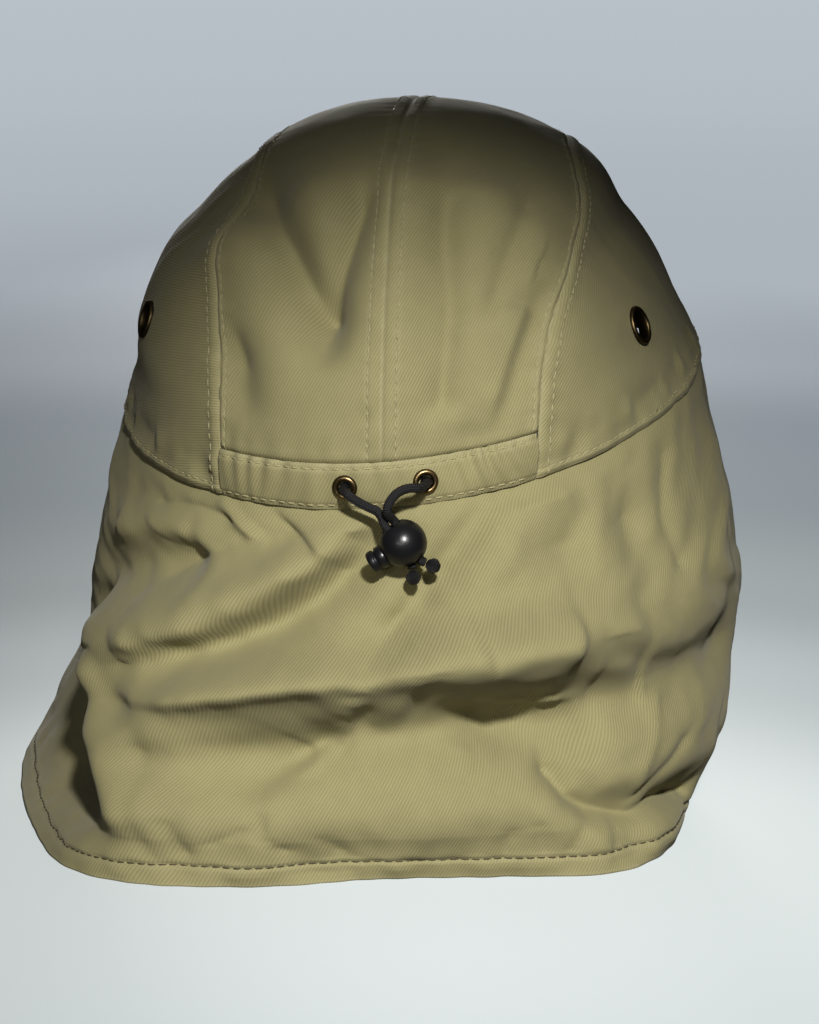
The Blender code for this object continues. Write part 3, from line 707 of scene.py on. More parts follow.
paint_sweep()
lamp("key_lamp", 192, 35, 1.5, -0.030, soft_spot(13.2, 0.05), 79.0)
lamp("fill_lamp", 172, 12, 2.2, 0.08, soft_box(1.2, 0.5), 7.0)
lamp("front_lamp", 8, 7, 1.7, 0.09, soft_spot(19.0, 0.25), 95.0)
world_sky = bpy.data.worlds.new("studio_sky")
world_sky.use_nodes = True
world_sky.node_tree.nodes["Background"].inputs["Color"].default_value = (0.85, 0.92, 1.0, 1)
world_sky.node_tree.nodes["Background"].inputs["Strength"].default_value = 0.03
bpy.context.scene.world = world_sky
bpy.context.scene.view_settings.view_transform = "Standard"
bpy.context.scene.view_settings.look = "Medium High Contrast"

# %% [markdown]
# ## Twill
# Twill shows fine slanted ribs a little under a millimetre apart. An image would repeat and can't be
# scaled, so the ribs are made by nodes from the map in metres: a sine across the ribs, broken along each
# rib by the weft, with a little fibre noise. All the cloth shares one node group, and each piece sets the
# slant of its ribs, because the pieces were cut at different angles to the weave. The inner side of each
# piece carries a mask, and painted shade darkens its colour there, standing in for the shade inside the
# cap.

# %% Twill group
def new_group(name, inputs, outputs):
    tree = bpy.data.node_groups.new(name, "ShaderNodeTree")
    for label, kind, value in inputs:
        socket = tree.interface.new_socket(label, in_out="INPUT", socket_type=kind)
        if value is not None:
            socket.default_value = value
    for label, kind in outputs:
        tree.interface.new_socket(label, in_out="OUTPUT", socket_type=kind)
    return tree, node(tree, "NodeGroupInput").outputs, node(tree, "NodeGroupOutput").inputs


def noise(tree, place, scale, detail=2.0, roughness=0.5):
    made = node(tree, "ShaderNodeTexNoise", noise_dimensions="3D")
    values = {"Vector": place, "Scale": scale, "Detail": detail, "Roughness": roughness}
    return fill(tree, made, values)["Fac"]


# The last share sets how strongly painted shade darkens the inner side of the cloth.
RIB_SPACING, RIB_SWAY, WEFT_SPACING, PAINTED_INNER_SHADE_SHARE = 0.00085, 0.0002, 0.0007, 0.6


def twill_group():
    tree, given, result = new_group(
        "twill weave",
        (("map in metres", "NodeSocketVector", None), ("rib slant", "NodeSocketFloat", 1.0),
         ("rib spacing", "NodeSocketFloat", RIB_SPACING), ("wear", "NodeSocketFloat", 0.0),
         ("rib colour", "NodeSocketColor", (0.325, 0.300, 0.162, 1)),
         ("groove colour", "NodeSocketColor", (0.255, 0.233, 0.122, 1)),
         ("worn colour", "NodeSocketColor", (0.46, 0.43, 0.28, 1)),
         # Painted shade for the inner side of the cloth: its mask and its dark colour.
         ("inner side for painted shade", "NodeSocketFloat", 0.0),
         ("painted inner shade colour", "NodeSocketColor", (0.105, 0.092, 0.048, 1))),
        (("colour", "NodeSocketColor"), ("height", "NodeSocketFloat")))
    place = given["map in metres"]
    rotate = node(tree, "ShaderNodeVectorRotate", rotation_type="Z_AXIS")
    leaning = fill(tree, rotate, {"Vector": place, "Angle": given["rib slant"]})[0]
    parts = node(tree, "ShaderNodeSeparateXYZ", leaning).outputs
    sway = maths(tree, "MULTIPLY", maths(tree, "SUBTRACT", noise(tree, place, 60.0), 0.5), RIB_SWAY)
    lanes = maths(tree, "DIVIDE", maths(tree, "ADD", parts[0], sway), given["rib spacing"])
    rib = maths(tree, "SINE", maths(tree, "MULTIPLY", lanes, 2 * math.pi))
    rib = maths(tree, "MULTIPLY_ADD", rib, 0.5, 0.5)
    lane = maths(tree, "FLOOR", lanes)
    weft = maths(tree, "DIVIDE", parts[1], WEFT_SPACING)
    weft = maths(tree, "SINE", maths(tree, "MULTIPLY_ADD", lane, 2.1, maths(tree, "MULTIPLY", weft, 6.28)))
    height = maths(tree, "MULTIPLY_ADD", weft, 0.10, maths(tree, "POWER", rib, 0.7))
    fibre = maths(tree, "SUBTRACT", noise(tree, place, 2600.0, 1.0), 0.5)
    height = maths(tree, "MULTIPLY_ADD", fibre, 0.30, height)
    mottle = noise(tree, place, 160.0, 3.0, 0.6)
    tone = maths(tree, "MULTIPLY_ADD", maths(tree, "SUBTRACT", mottle, 0.5), 0.7, height)
    tone = maths(tree, "MAXIMUM", tone, 0.0)
    colour = blend_colours(tree, tone, given["groove colour"], given["rib colour"])
    rubbed = maths(tree, "MULTIPLY", given["wear"], maths(tree, "MULTIPLY_ADD", mottle, 1.2, -0.1))
    rubbed = maths(tree, "MINIMUM", maths(tree, "MAXIMUM", rubbed, 0.0), 1.0)
    colour = blend_colours(tree, rubbed, colour, given["worn colour"])
    # Painted shade: the inner side is darkened, standing in for the shade inside the cap.
    inner_shade_amount = maths(tree, "MULTIPLY", given["inner side for painted shade"], PAINTED_INNER_SHADE_SHARE)
    put(tree, result["colour"], blend_colours(tree, inner_shade_amount, colour, given["painted inner shade colour"]))
    put(tree, result["height"], height)
    return tree


twill_weave = twill_group()


def twill_material(name, slant_degrees):
    """Cotton twill whose ribs lean by this many degrees from the upright of its map."""
    made, tree, shader = new_material(name, 0.86)
    place = node(tree, "ShaderNodeUVMap", uv_map="weave").outputs[0]
    weave = fill(tree, node(tree, "ShaderNodeGroup", node_tree=twill_weave), {
        "map in metres": place, "rib slant": math.radians(slant_degrees),
        "wear": read_mask(tree, "wear"), "inner side for painted shade": read_mask(tree, "painted_inner_shade")})
    add_bump(tree, shader, weave["height"], 0.00011, 0.6)
    put(tree, shader.inputs["Base Color"], weave["colour"])
    shader.inputs["Sheen Weight"].default_value = 0.12
    shader.inputs["Specular IOR Level"].default_value = 0.25
    return made


strip_twill = twill_material("strip_twill", 28)
left_panel_twill = twill_material("left_panel_twill", 84)
right_panel_twill = twill_material("right_panel_twill", -40)
flap_twill = twill_material("flap_twill", 32)
print("twill materials", [item.name for item in bpy.data.materials if "twill" in item.name])

# %% [markdown]
# ## Unevenness and seams
# Sewn cloth is never smooth: beside a seam it dips, swells over the folded allowance and puckers where
# the thread pulls it. A bump in the material would leave the outline too clean, so these are real
# heights, worked out from the distance to each edge along the cloth.

# %% Relief helpers
def rumple(x, y, size, seed):
    """Smooth unevenness between -1 and 1 with bumps of about this size, the same on each run."""
    table = np.random.default_rng(seed).uniform(-1, 1, (64, 64))
    column, row = x / size, y / size
    column_cell, row_cell = np.floor(column).astype(int), np.floor(row).astype(int)
    column, row = column - column_cell, row - row_cell
    column, row = column ** 2 * (3 - 2 * column), row ** 2 * (3 - 2 * row)

    def corner(right, up):
        return table[(row_cell + up) % 64, (column_cell + right) % 64]

    low = corner(0, 0) * (1 - column) + corner(1, 0) * column
    high = corner(0, 1) * (1 - column) + corner(1, 1) * column
    return low * (1 - row) + high * row


def arcs(points, axis):
    """Distance along the cloth from the first row or column of a grid of points."""
    steps = np.linalg.norm(np.diff(points, axis=axis), axis=-1)
    start = np.zeros_like(np.take(steps, [0], axis))
    return np.concatenate([start, np.cumsum(steps, axis)], axis)


def close_ends(count, pull=0.7):
    """Shares from 0 to 1 that lie closer together near both ends."""
    share = np.linspace(0, 1, count)
    return share - pull * np.sin(2 * math.pi * share) / (2 * math.pi)


SEAM_DIP, DIP_WIDTH, PAD_EDGE, PAD_SOFTNESS = 0.0007, 0.0010, 0.0006, 0.0003
THREAD_GROOVE, GROOVE_WIDTH = 0.00032, 0.00055
PUCKER, PUCKER_RUN, PUCKER_REACH = 0.00016, 0.0011, 0.0030
SLACK, SLACK_SIZE, SLACK_REACH = 0.00030, 0.0075, 0.011
EDGE_WEAR, EDGE_WEAR_WIDTH, THREAD_WEAR, THREAD_WEAR_WIDTH = 0.55, 0.0008, 0.25, 0.0012


def seam_relief(apart, along, stitch, swell, seed):
    """Height beside a seam whose edge is this far away, stitched at one distance from it."""
    dip = -SEAM_DIP * bell(apart, DIP_WIDTH)
    pad = swell / (1 + np.exp(np.clip((apart - stitch - PAD_EDGE) / PAD_SOFTNESS, -30, 30)))
    groove = -THREAD_GROOVE * bell(apart - stitch, GROOVE_WIDTH)
    pull = np.sin(along / PUCKER_RUN + 3 * rumple(along, apart, 0.02, seed))
    pucker = PUCKER * pull * np.exp(-np.abs(apart - stitch) / PUCKER_REACH)
    slack = SLACK * rumple(along, apart * 0.3, SLACK_SIZE, seed + 1) * np.exp(-apart / SLACK_REACH)
    return dip + pad + groove + pucker + slack


def edge_wear(apart, stitch):
    """How rubbed the cloth is at its edge and along its stitches."""
    return EDGE_WEAR * bell(apart, EDGE_WEAR_WIDTH) + THREAD_WEAR * bell(apart - stitch, THREAD_WEAR_WIDTH)


# %% [markdown]
# ## Crown
# The centre strip is in two halves, joined by a seam that is topstitched on both sides. A side panel
# closes each side. Each piece is a fine grid on the crown's formula, with its own edges as in the
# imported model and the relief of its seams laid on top.

# %% Centre strip
CENTRE_STITCH, STRIP_STITCH, PANEL_STITCH, LOWER_STITCH = 0.0041, 0.0024, 0.0037, 0.0026
LAP, TURN_ASPECT, POLE_SPAN = 0.00008, 3.9, 0.08
# Rows of the shoulder: path of shares across and turns, width in turns, depth in centimetres.
SHOULDER = (
    (((-0.54, 0.260), (-0.30, 0.280), (0.00, 0.285), (0.28, 0.280), (0.40, 0.272)), 0.042, 0.32),
    (((-0.40, 0.39), (0.00, 0.40), (0.40, 0.39)), 0.080, -0.16),
)
STRIP_DENTS = (
    (((-0.47, 0.76), (-0.34, 0.64), (-0.24, 0.52)), 0.050, -0.62),
    (((-0.10, 0.77), (-0.17, 0.62), (-0.21, 0.52)), 0.030, -0.44),
    (((0.19, 0.75), (0.23, 0.52), (0.21, 0.28)), 0.034, -0.40),
    (((0.44, 0.72), (0.36, 0.50)), 0.034, -0.26),
    (((-0.52, 0.42), (-0.50, 0.36)), 0.022, -0.14),
    (((-0.06, 0.24), (-0.16, 0.12)), 0.020, -0.10),
)
# Rows of one-sided folds: path along the crest, gentle width, steep width, depth in centimetres.
CROWN_LIPS = (
    (((0.32, 0.14), (0.40, 0.36), (0.47, 0.52)), 0.090, 0.036, 0.42),
)
CROWN_FOLD_START, CROWN_FOLD_SPAN = 0.14, 0.12


def crown_relief(across, turn, seed):
    """Finer dents and unevenness of the crown's cloth."""
    _, lift, _, _ = crown_place(across, turn)
    back_half = np.clip(4 * (0.62 - turn), 0, 1)
    folds = sharp_creases(STRIP_DENTS, across, lift, DENT_ASPECT, 0.6) * back_half
    folds += lips(CROWN_LIPS, across, lift, DENT_ASPECT) * back_half
    folds = folds * np.clip((lift - CROWN_FOLD_START) / CROWN_FOLD_SPAN, 0, 1)
    folds = FOLD_UNIT * (folds + creases(SHOULDER, across, turn, TURN_ASPECT))
    x, y = across * BAND_HALF_WIDTH, turn * math.pi * 0.11
    uneven = 0.00060 * rumple(x, y, 0.024, seed) + 0.00026 * rumple(x, y, 0.010, seed + 1)
    return folds + uneven * np.clip((1 - np.abs(across)) / POLE_SPAN, 0, 1)


def strip_piece(name, side, rows=250, columns=76):
    """Half of the centre strip; side is -1 for the left half and 1 for the right one."""
    edge = -LAP / BAND_HALF_WIDTH
    share = close_ends(columns)[None, :]
    foot = seam_share(SEAMS[1][0], side)
    start = lift_turn(side * (edge + share * (foot - 2 * edge)), CASING_HEIGHT - LAP)
    turn = start + (1 - start) * np.linspace(0, 1, rows)[:, None]
    across = side * (edge + share * (seam_share(turn, side) - 2 * edge))
    base = crown_point(across, turn)
    from_centre = arcs(base, 1)
    to_seam = from_centre[:, -1:] - from_centre
    along = arcs(base, 0)
    relief = crown_relief(across, turn, 11)
    relief += seam_relief(from_centre, along, CENTRE_STITCH, 0.0004, 31)
    relief += seam_relief(to_seam, along, STRIP_STITCH, 0.0003, 33 if side > 0 else 35)
    relief += seam_relief(along, from_centre, LOWER_STITCH, 0.0003, 37)
    wear = edge_wear(from_centre, CENTRE_STITCH) + edge_wear(to_seam, STRIP_STITCH)
    outer = crown_point(across, turn, relief)
    inner = crown_point(across, turn, relief - CLOTH)
    weave = np.stack([side * from_centre, along], -1)
    return cloth_piece(name, strip_twill, outer, inner, weave, wear, centre=from_centre, seam=to_seam)


strips = [strip_piece("crown_strip_left_cloth", -1), strip_piece("crown_strip_right_cloth", 1)]
print("each half strip has", len(strips[0].piece.data.polygons), "faces")


# %% Side panels
PANEL_PUCKER, PUCKER_SIZE, PUCKER_HEIGHT, PUCKER_SPAN = 0.0009, 0.0042, 0.007, 0.005


def panel_piece(name, side, cloth, rows=86, columns=250):
    """A D-shaped panel as rings round its lowest middle, from the seam inwards."""
    edge = -LAP / BAND_HALF_WIDTH
    turn = close_ends(columns, 0.85)[None, :]
    ring = ring_share(seam_share(turn, side) + edge)
    ring = ring * (1 - np.linspace(0, 1, rows) ** 1.35)[:, None]
    across = side * ring_share(ring)
    turn = np.broadcast_to(turn, across.shape)
    base = crown_point(across, turn)
    from_seam = arcs(base, 0)
    along = arcs(base, 1)[:1] + 0 * from_seam
    _, _, _, above = crown_place(across, turn)
    relief = crown_relief(across, turn, 11)
    relief += seam_relief(from_seam, along, PANEL_STITCH, 0.0006, 43)
    relief += seam_relief(above, base[..., 1], LOWER_STITCH, 0.0004, 45)
    puckers = rumple(base[..., 1], above * 0.5, PUCKER_SIZE, 47)
    relief += PANEL_PUCKER * puckers * bell(above - PUCKER_HEIGHT, PUCKER_SPAN)
    wear = edge_wear(from_seam, PANEL_STITCH) + edge_wear(above, LOWER_STITCH)
    outer = crown_point(across, turn, relief)
    inner = crown_point(across, turn, relief - CLOTH)
    pole = base[-1:, :1]
    heading = np.arctan2(base[:1, :, 2] - pole[..., 2], base[:1, :, 1] - pole[..., 1])
    inward = from_seam[-1:] - from_seam
    weave = np.stack([inward * np.cos(heading), inward * np.sin(heading)], -1)
    return cloth_piece(name, cloth, outer, inner, weave, wear, seam=from_seam, band=above)


panels = [panel_piece("side_panel_left_cloth", -1, left_panel_twill),
          panel_piece("side_panel_right_cloth", 1, right_panel_twill)]
print("each side panel has", len(panels[0].piece.data.polygons), "faces")

# %% [markdown]
# ## Drawcord casing
# The casing is a folded strip sewn over the back edge, with the cord in its tunnel. The cord pulls it
# into small gathers, strongest to the right of the eyelets. It could be a plain band with a bump map,
# but gathers show in the outline of its lower edge, so they are real.

# %% Casing with gathers
CASING_TOP_STITCH, CASING_FOOT_STITCH = 0.0016, 0.0014
GATHER_HEIGHT, GATHER_RUN, CASING_UNEVEN = 0.00055, 0.00105, 0.0003
# Rows of the gathers: share across, strength.
GATHERS = ((-0.60, 0.25), (-0.40, 0.55), (-0.14, 0.30), (0.02, 0.45), (0.16, 0.35), (0.30, 1.00),
           (0.44, 0.80), (0.60, 0.30))


def casing_piece(name, rows=34, columns=300):
    edge = -LAP / BAND_HALF_WIDTH
    across = np.linspace(-seam_share(0.0, -1) + edge, seam_share(0.0, 1) - edge, columns)[None, :]
    share = close_ends(rows, 0.6)[:, None]
    turn = lift_turn(across, CASING_HEIGHT * (1 - share))
    across = np.broadcast_to(across, turn.shape)
    bulge = CASING_LIFT * (1 + np.sin(math.pi * share)) / 2
    base = crown_point(across, turn)
    along, down = arcs(base, 1), arcs(base, 0)
    up = down[-1:] - down
    strength = through([row[0] for row in GATHERS], [row[1] for row in GATHERS], across)
    waves = np.sin(along / GATHER_RUN + 5 * rumple(along, down, 0.018, 61))
    gathers = GATHER_HEIGHT * strength * waves * (0.35 + 0.65 * (1 - share))
    relief = bulge + gathers + CASING_UNEVEN * rumple(along, down, 0.008, 62)
    relief += seam_relief(down, along, CASING_TOP_STITCH, 0.0, 63)
    relief += seam_relief(up, along, CASING_FOOT_STITCH, 0.0, 64)
    wear = edge_wear(down, CASING_TOP_STITCH) + edge_wear(up, CASING_FOOT_STITCH)
    outer = crown_point(across, turn, relief)
    inner = crown_point(across, turn, bulge - CASING_CLOTH)
    weave = np.stack([along, up], -1)
    return cloth_piece(name, strip_twill, outer, inner, weave, wear, top=down, foot=up)


casing = casing_piece("drawcord_casing_cloth")
print("casing has", len(casing.piece.data.polygons), "faces")

# %% [markdown]
# ## Neck flap
# The flap is one sheet of cloth that hangs from the back and sides of the band and stands on its hem.
# A cloth simulation would give folds of its own, not these ones, so the sheet is a surface whose outline
# is read from a table and whose folds are rows of paths. Broad folds come first, then sharp ones, then
# crests with one steep side, and last the wrinkles near the hem, where the doubled edge holds the cloth.

# %% Outline of the flap
# Rows of the reach: share of the band's height, then how far out the flap stands at each angle.
LEFT_EDGE_TOP, LEFT_EDGE_FOOT, RIGHT_EDGE_TOP, RIGHT_EDGE_FOOT = -108.0, -104.0, 110.0, 115.0
LEFT_CORNER_RISE, RIGHT_CORNER_RISE, CORNER_SPAN = 0.28, 0.30, 0.045
FOLD_FADE_TOP, FOLD_FADE_FOOT, FOLD_ASPECT = 0.167, 0.125, 75.0
REACH_ANGLES = (-110, -80, -60, -40, -20, 0, 20, 40, 60, 80, 110)
REACH_ROWS = (
    (0.00, (1.46, 1.38, 1.41, 1.50, 1.31, 1.13, 1.15, 1.28, 1.11, 0.88, 0.78)),
    (0.18, (1.36, 1.20, 1.06, 1.38, 1.28, 1.14, 1.15, 1.24, 1.20, 1.10, 0.95)),
    (0.36, (1.24, 1.12, 1.06, 1.40, 1.24, 1.12, 1.12, 1.20, 1.21, 1.15, 1.03)),
    (0.52, (1.14, 1.12, 1.20, 1.29, 1.24, 1.18, 1.20, 1.23, 1.22, 1.16, 1.08)),
    (0.76, (1.05, 1.07, 1.10, 1.11, 1.09, 1.07, 1.09, 1.11, 1.12, 1.10, 1.05)),
    (1.00, (1.00, 1.00, 1.00, 1.00, 1.00, 1.00, 1.00, 1.00, 1.00, 1.00, 1.00)),
)

# %% Folds of the flap
# Rows of folds: path of angles and height shares, width, depth in centimetres. The one-sided folds at
# the end have a gentle and a steep width.
FLAP_FOLDS = (
    (((-54, 0.58), (-34, 0.72), (-16, 0.86)), 0.070, 0.40),
    (((-44, 0.46), (-28, 0.60), (-12, 0.76), (0, 0.93)), 0.070, -0.72),
    (((-62, 0.66), (-40, 0.79)), 0.080, -0.75),
    (((-36, 0.32), (-22, 0.34), (-2, 0.40), (14, 0.39), (32, 0.34)), 0.075, -0.72),
    (((-30, 0.52), (-2, 0.61), (26, 0.52)), 0.060, 0.35),
    (((22, 0.46), (44, 0.42), (70, 0.42)), 0.085, -0.65),
    (((-30, 0.18), (26, 0.18)), 0.100, 0.36),
    (((-3, 0.47), (-8, 0.38), (-18, 0.28)), 0.035, -0.35),
    (((30, 0.27), (36, 0.17), (56, 0.12)), 0.050, -0.45),
    (((24, 1.00), (14, 0.86), (9, 0.76), (0, 0.64)), 0.060, -0.60),
    (((-33, 1.00), (-28, 0.92), (-20, 0.91)), 0.035, -0.35),
    (((-25, 1.00), (-13, 0.88)), 0.035, -0.35),
    (((-52, 0.94), (-34, 0.95)), 0.040, -0.25),
    (((36, 1.00), (34, 0.84)), 0.055, -0.30),
    (((46, 0.98), (49, 0.76)), 0.060, -0.35),
    (((-50, 0.46), (-46, 0.34), (-40, 0.25), (-36, 0.19)), 0.060, 0.70),
    (((-66, 0.52), (-60, 0.34), (-49, 0.16)), 0.080, -1.20),
)
SHARP_FOLDS = (
    (((-23, 0.98), (-18, 0.94), (-13, 0.90)), 0.010, -0.16),
    (((-50, 0.92), (-40, 0.95), (-32, 0.94)), 0.014, -0.14),
    (((-48, 0.70), (-39, 0.81), (-31, 0.87)), 0.016, -0.10),
    (((4, 0.72), (1, 0.66), (-2, 0.60)), 0.014, -0.16),
    (((30, 0.25), (32, 0.19), (36, 0.15), (43, 0.11), (49, 0.12), (60, 0.09)), 0.024, -0.62),
    (((43, 0.15), (48, 0.20), (54, 0.26)), 0.014, -0.16),
    (((43, 0.15), (44, 0.23), (47, 0.30), (50, 0.38)), 0.016, 0.14),
    (((-17, 0.20), (-16, 0.14), (-14, 0.10)), 0.010, -0.16),
    (((-19, 0.16), (-23, 0.12)), 0.010, -0.12),
    (((-29, 0.17), (-27, 0.09)), 0.012, -0.14),
    (((-36, 0.34), (-34, 0.20), (-31, 0.07)), 0.014, -0.12),
    (((-8, 0.13), (-6, 0.09)), 0.010, -0.10),
    (((21, 0.07), (22, 0.13)), 0.009, -0.12),
    (((27, 0.07), (26, 0.14)), 0.009, -0.12),
    (((31, 0.07), (33, 0.12)), 0.009, -0.10),
    (((38, 0.06), (39, 0.11)), 0.009, -0.12),
    (((8, 0.30), (12, 0.36), (16, 0.33)), 0.012, 0.08),
    (((60, 0.92), (56, 0.80), (57, 0.68)), 0.020, -0.14),
)
FLAP_LIPS = (
    (((-48, 0.56), (-41, 0.60), (-31, 0.67), (-22, 0.74), (-16, 0.80), (-11, 0.87), (-5, 0.97)),
     0.085, 0.050, 0.74),
    (((-52, 0.455), (-31, 0.505), (-24, 0.53), (-13, 0.565), (-4, 0.585), (4, 0.61), (13, 0.635),
      (23, 0.645), (34, 0.635), (42, 0.62)), 0.065, 0.066, 0.66),
    (((15, 0.61), (23, 0.625), (33, 0.61)), 0.100, 0.075, 0.66),
    (((-48, 0.41), (-31, 0.45), (-13, 0.52), (-5, 0.54)), 0.030, 0.060, -0.32),
    (((-40, 0.56), (-27, 0.645), (-19, 0.725), (-11, 0.83), (-6, 0.92)), 0.026, 0.060, -0.34),
    (((4, 0.52), (13, 0.47), (21, 0.435), (31, 0.42)), 0.085, 0.085, -0.76),
    (((36, 0.47), (48, 0.47)), 0.080, 0.090, -0.30),
    (((-12, 0.38), (-18, 0.31), (-24, 0.26)), 0.050, 0.080, -0.24),
    (((19, 0.465), (25, 0.445), (34, 0.435)), 0.018, 0.012, 0.26),
    (((40, 0.99), (31, 0.95), (24, 0.93), (19, 0.86), (12, 0.76), (8, 0.70)), 0.100, 0.042, 0.44),
    (((-24, 0.905), (-27, 0.925), (-31, 0.96), (-36, 1.00)), 0.022, 0.011, 0.28),
    (((-15, 0.295), (-11, 0.31), (-7, 0.38), (-4, 0.47), (-1, 0.545)), 0.030, 0.012, 0.28),
    (((-62, 0.80), (-50, 0.86), (-38, 0.89)), 0.050, 0.045, 0.26),
)

# %% Flap as a formula
TUCK_UNDER, TUCK_LIFT, TUCK_SPAN, FOLD_FADE = 0.0013, 0.0012, 0.0022, 0.05



def corner_rise(u):
    left = np.clip(1 - u / CORNER_SPAN, 0, 1)
    right = np.clip(1 - (1 - u) / CORNER_SPAN, 0, 1)
    rise_left = LEFT_CORNER_RISE * (1 - np.sqrt(1 - left ** 2))
    return rise_left + RIGHT_CORNER_RISE * (1 - np.sqrt(1 - right ** 2))


def flap_reach(angle, height):
    rows = [through(REACH_ANGLES, reaches, angle) for _, reaches in REACH_ROWS]
    return through([row[0] for row in REACH_ROWS], rows, height)


def flap_frame(u, v):
    height = 1 - v * (1 - corner_rise(u))
    left = LEFT_EDGE_FOOT + (LEFT_EDGE_TOP - LEFT_EDGE_FOOT) * height
    right = RIGHT_EDGE_FOOT + (RIGHT_EDGE_TOP - RIGHT_EDGE_FOOT) * height
    return left + (right - left) * u, height


def flap_point(u, v, out=0.0, folded=1.0):
    """Point of the flap at its shares round the head and down to the hem, with or without folds."""
    u, v = np.broadcast_arrays(np.asarray(u, float), np.asarray(v, float))
    angle, height = flap_frame(u, v)
    turn = np.radians(angle)
    across, back = np.sin(turn), np.cos(turn)
    base = band_height(across, back) - GAP
    fade = np.clip((1 - height) / FOLD_FADE_TOP, 0, 1) * np.clip(height / FOLD_FADE_FOOT, 0, 1)
    short_fade = np.clip((1 - height) / FOLD_FADE, 0, 1) * np.clip(height / FOLD_FADE, 0, 1)
    folds = creases(FLAP_FOLDS, angle, height, FOLD_ASPECT) * fade
    folds += sharp_creases(SHARP_FOLDS, angle, height, FOLD_ASPECT) * short_fade
    folds += lips(FLAP_LIPS, angle, height, FOLD_ASPECT) * short_fade
    folds *= FOLD_UNIT * folded
    reach = flap_reach(angle, height)
    tuck = BACK_TUCK * np.clip(back, 0, 1) ** 2 * np.exp(-(1 - height) * base / TUCK_HEIGHT)
    under = bell((1 - height) * base, TUCK_SPAN)
    direction = unit(np.stack([across / BAND_HALF_WIDTH, back / BAND_HALF_LENGTH, 0 * across], -1))
    half_width = BAND_HALF_WIDTH + SIDE_FLARE * across ** 2
    point = np.stack([across * half_width * reach, back * BAND_HALF_LENGTH * reach,
                      base * height + TUCK_LIFT * under], -1)
    return point + direction * (out + folds - tuck - TUCK_UNDER * under)[..., None]


# %% Flap with its hem
HEM_STITCH, HEM_ZONE, HEM_ROWS, HEM_SOFTNESS = HEM_WIDTH - 0.0012, 0.016, 30, 0.00035
HEM_PUCKER, HEM_PUCKER_SPAN, HEM_STEP = 0.0015, 0.011, 0.0005
HEM_GROOVE, HEM_GROOVE_WIDTH, HEM_TWIST, TWIST_RUN = 0.0009, 0.0005, 0.00022, 0.0021
BAND_CALM, FLOOR_CALM, DOUBLED_CALM, NO_STITCH = 0.08, 0.003, 0.7, 0.5
WING_ANGLE, WING_SPAN, WING_CALM = -40, 10, 0.85
flap_height = (BAND_BACK_HEIGHT + BAND_LEFT_HEIGHT) / 2


def from_middle(distances):
    """Distances along each row of a grid, counted from its middle column."""
    middle = distances.shape[1] // 2
    return distances - distances[:, middle:middle + 1]


def flap_piece(name, rows=150, columns=300):
    u = close_ends(columns, 0.25)[None, :]
    down = np.linspace(0, 1, rows - HEM_ROWS) ** 1.1
    hem = HEM_ZONE / flap_height
    in_hem = 1 - hem * (1 - np.linspace(0, 1, HEM_ROWS + 1)[1:])
    v = np.concatenate([down * (1 - hem), in_hem])[:, None]
    base = flap_point(u, v)
    round_head, fall = arcs(base, 1), arcs(base, 0)
    to_hem = fall[-1:] - fall
    from_left, from_right = round_head, round_head[:, -1:] - round_head
    along = from_middle(round_head)
    to_edge = np.minimum(to_hem, np.minimum(from_left, from_right))
    calm = np.clip(v / BAND_CALM, 0, 1)
    uneven = 0.0014 * rumple(along, fall, 0.034, 71)
    uneven += 0.0009 * rumple(along + fall, fall - along, 0.015, 72)
    uneven += 0.00030 * rumple(along, fall, 0.006, 73)
    pull = rumple(along, to_hem * 0.25, 0.011, 74) + 0.5 * rumple(along, to_hem * 0.3, 0.005, 75)
    pucker = HEM_PUCKER * pull * bell(to_hem - HEM_WIDTH, HEM_PUCKER_SPAN)
    doubled = 1 / (1 + np.exp((to_edge - HEM_WIDTH) / HEM_SOFTNESS))
    groove = -HEM_GROOVE * bell(to_edge - HEM_STITCH, HEM_GROOVE_WIDTH)
    sway = 5 * rumple(along, to_hem, 0.03, 76)
    twist = HEM_TWIST * np.sin((along + 0.5 * to_hem) / TWIST_RUN + sway) * doubled
    stand = np.clip(to_hem / FLOOR_CALM, 0, 1)
    angle, _ = flap_frame(u, v)
    smooth_wing = 1 - WING_CALM * np.clip((WING_ANGLE - angle) / WING_SPAN, 0, 1)
    relief = calm * uneven * (1 - DOUBLED_CALM * doubled) + calm * stand * pucker * smooth_wing
    relief += HEM_STEP * doubled + groove + twist * smooth_wing
    relief += seam_relief(fall, along, NO_STITCH, 0.0, 77)
    thick = CLOTH + (HEM_CLOTH - CLOTH) * doubled
    outer = flap_point(u, v, relief)
    inner = flap_point(u, v, relief - thick)
    plain = flap_point(u, v, 0.0, 0.0)
    weave = np.stack([from_middle(arcs(plain, 1)), -arcs(plain, 0)], -1)
    wear = edge_wear(to_edge, HEM_STITCH)
    return cloth_piece(name, flap_twill, outer, inner, weave, wear,
                       hem=to_hem, left=from_left, right=from_right)


flap = flap_piece("neck_flap_cloth")
print("flap has", len(flap.piece.data.polygons), "faces")

# %% [markdown]
# ## Peak
# The peak is hidden in the photograph, so it is a plain one: two layers of the same twill over a
# stiffener, with rows of stitches round it.

# %% Peak
PEAK_ROWS, PEAK_GROOVE, PEAK_GROOVE_WIDTH = (0.0035, 0.0105, 0.0175, 0.0245), 0.0004, 0.0006


def peak_point(angle, reach, out=0.0):
    """Point of the peak at an angle from the front and a share of its reach."""
    turn = np.radians(angle)
    across, front = np.sin(turn), np.cos(turn)
    base = band_height(across, -front)
    inside = np.clip(1 - (np.abs(angle) / PEAK_HALF_ANGLE) ** PEAK_BREADTH, 0, 1)
    grow = PEAK_REACH * inside ** PEAK_FULLNESS
    start = 1 + PEAK_CLEARANCE / BAND_HALF_WIDTH
    half_width = BAND_HALF_WIDTH + SIDE_FLARE * across ** 2
    forward = front * BAND_HALF_LENGTH * start + reach * grow
    height = base - PEAK_DROP * reach * grow / PEAK_REACH - PEAK_ARCH * across ** 2 * reach + out
    return np.stack([across * half_width * start, -forward, height], -1)


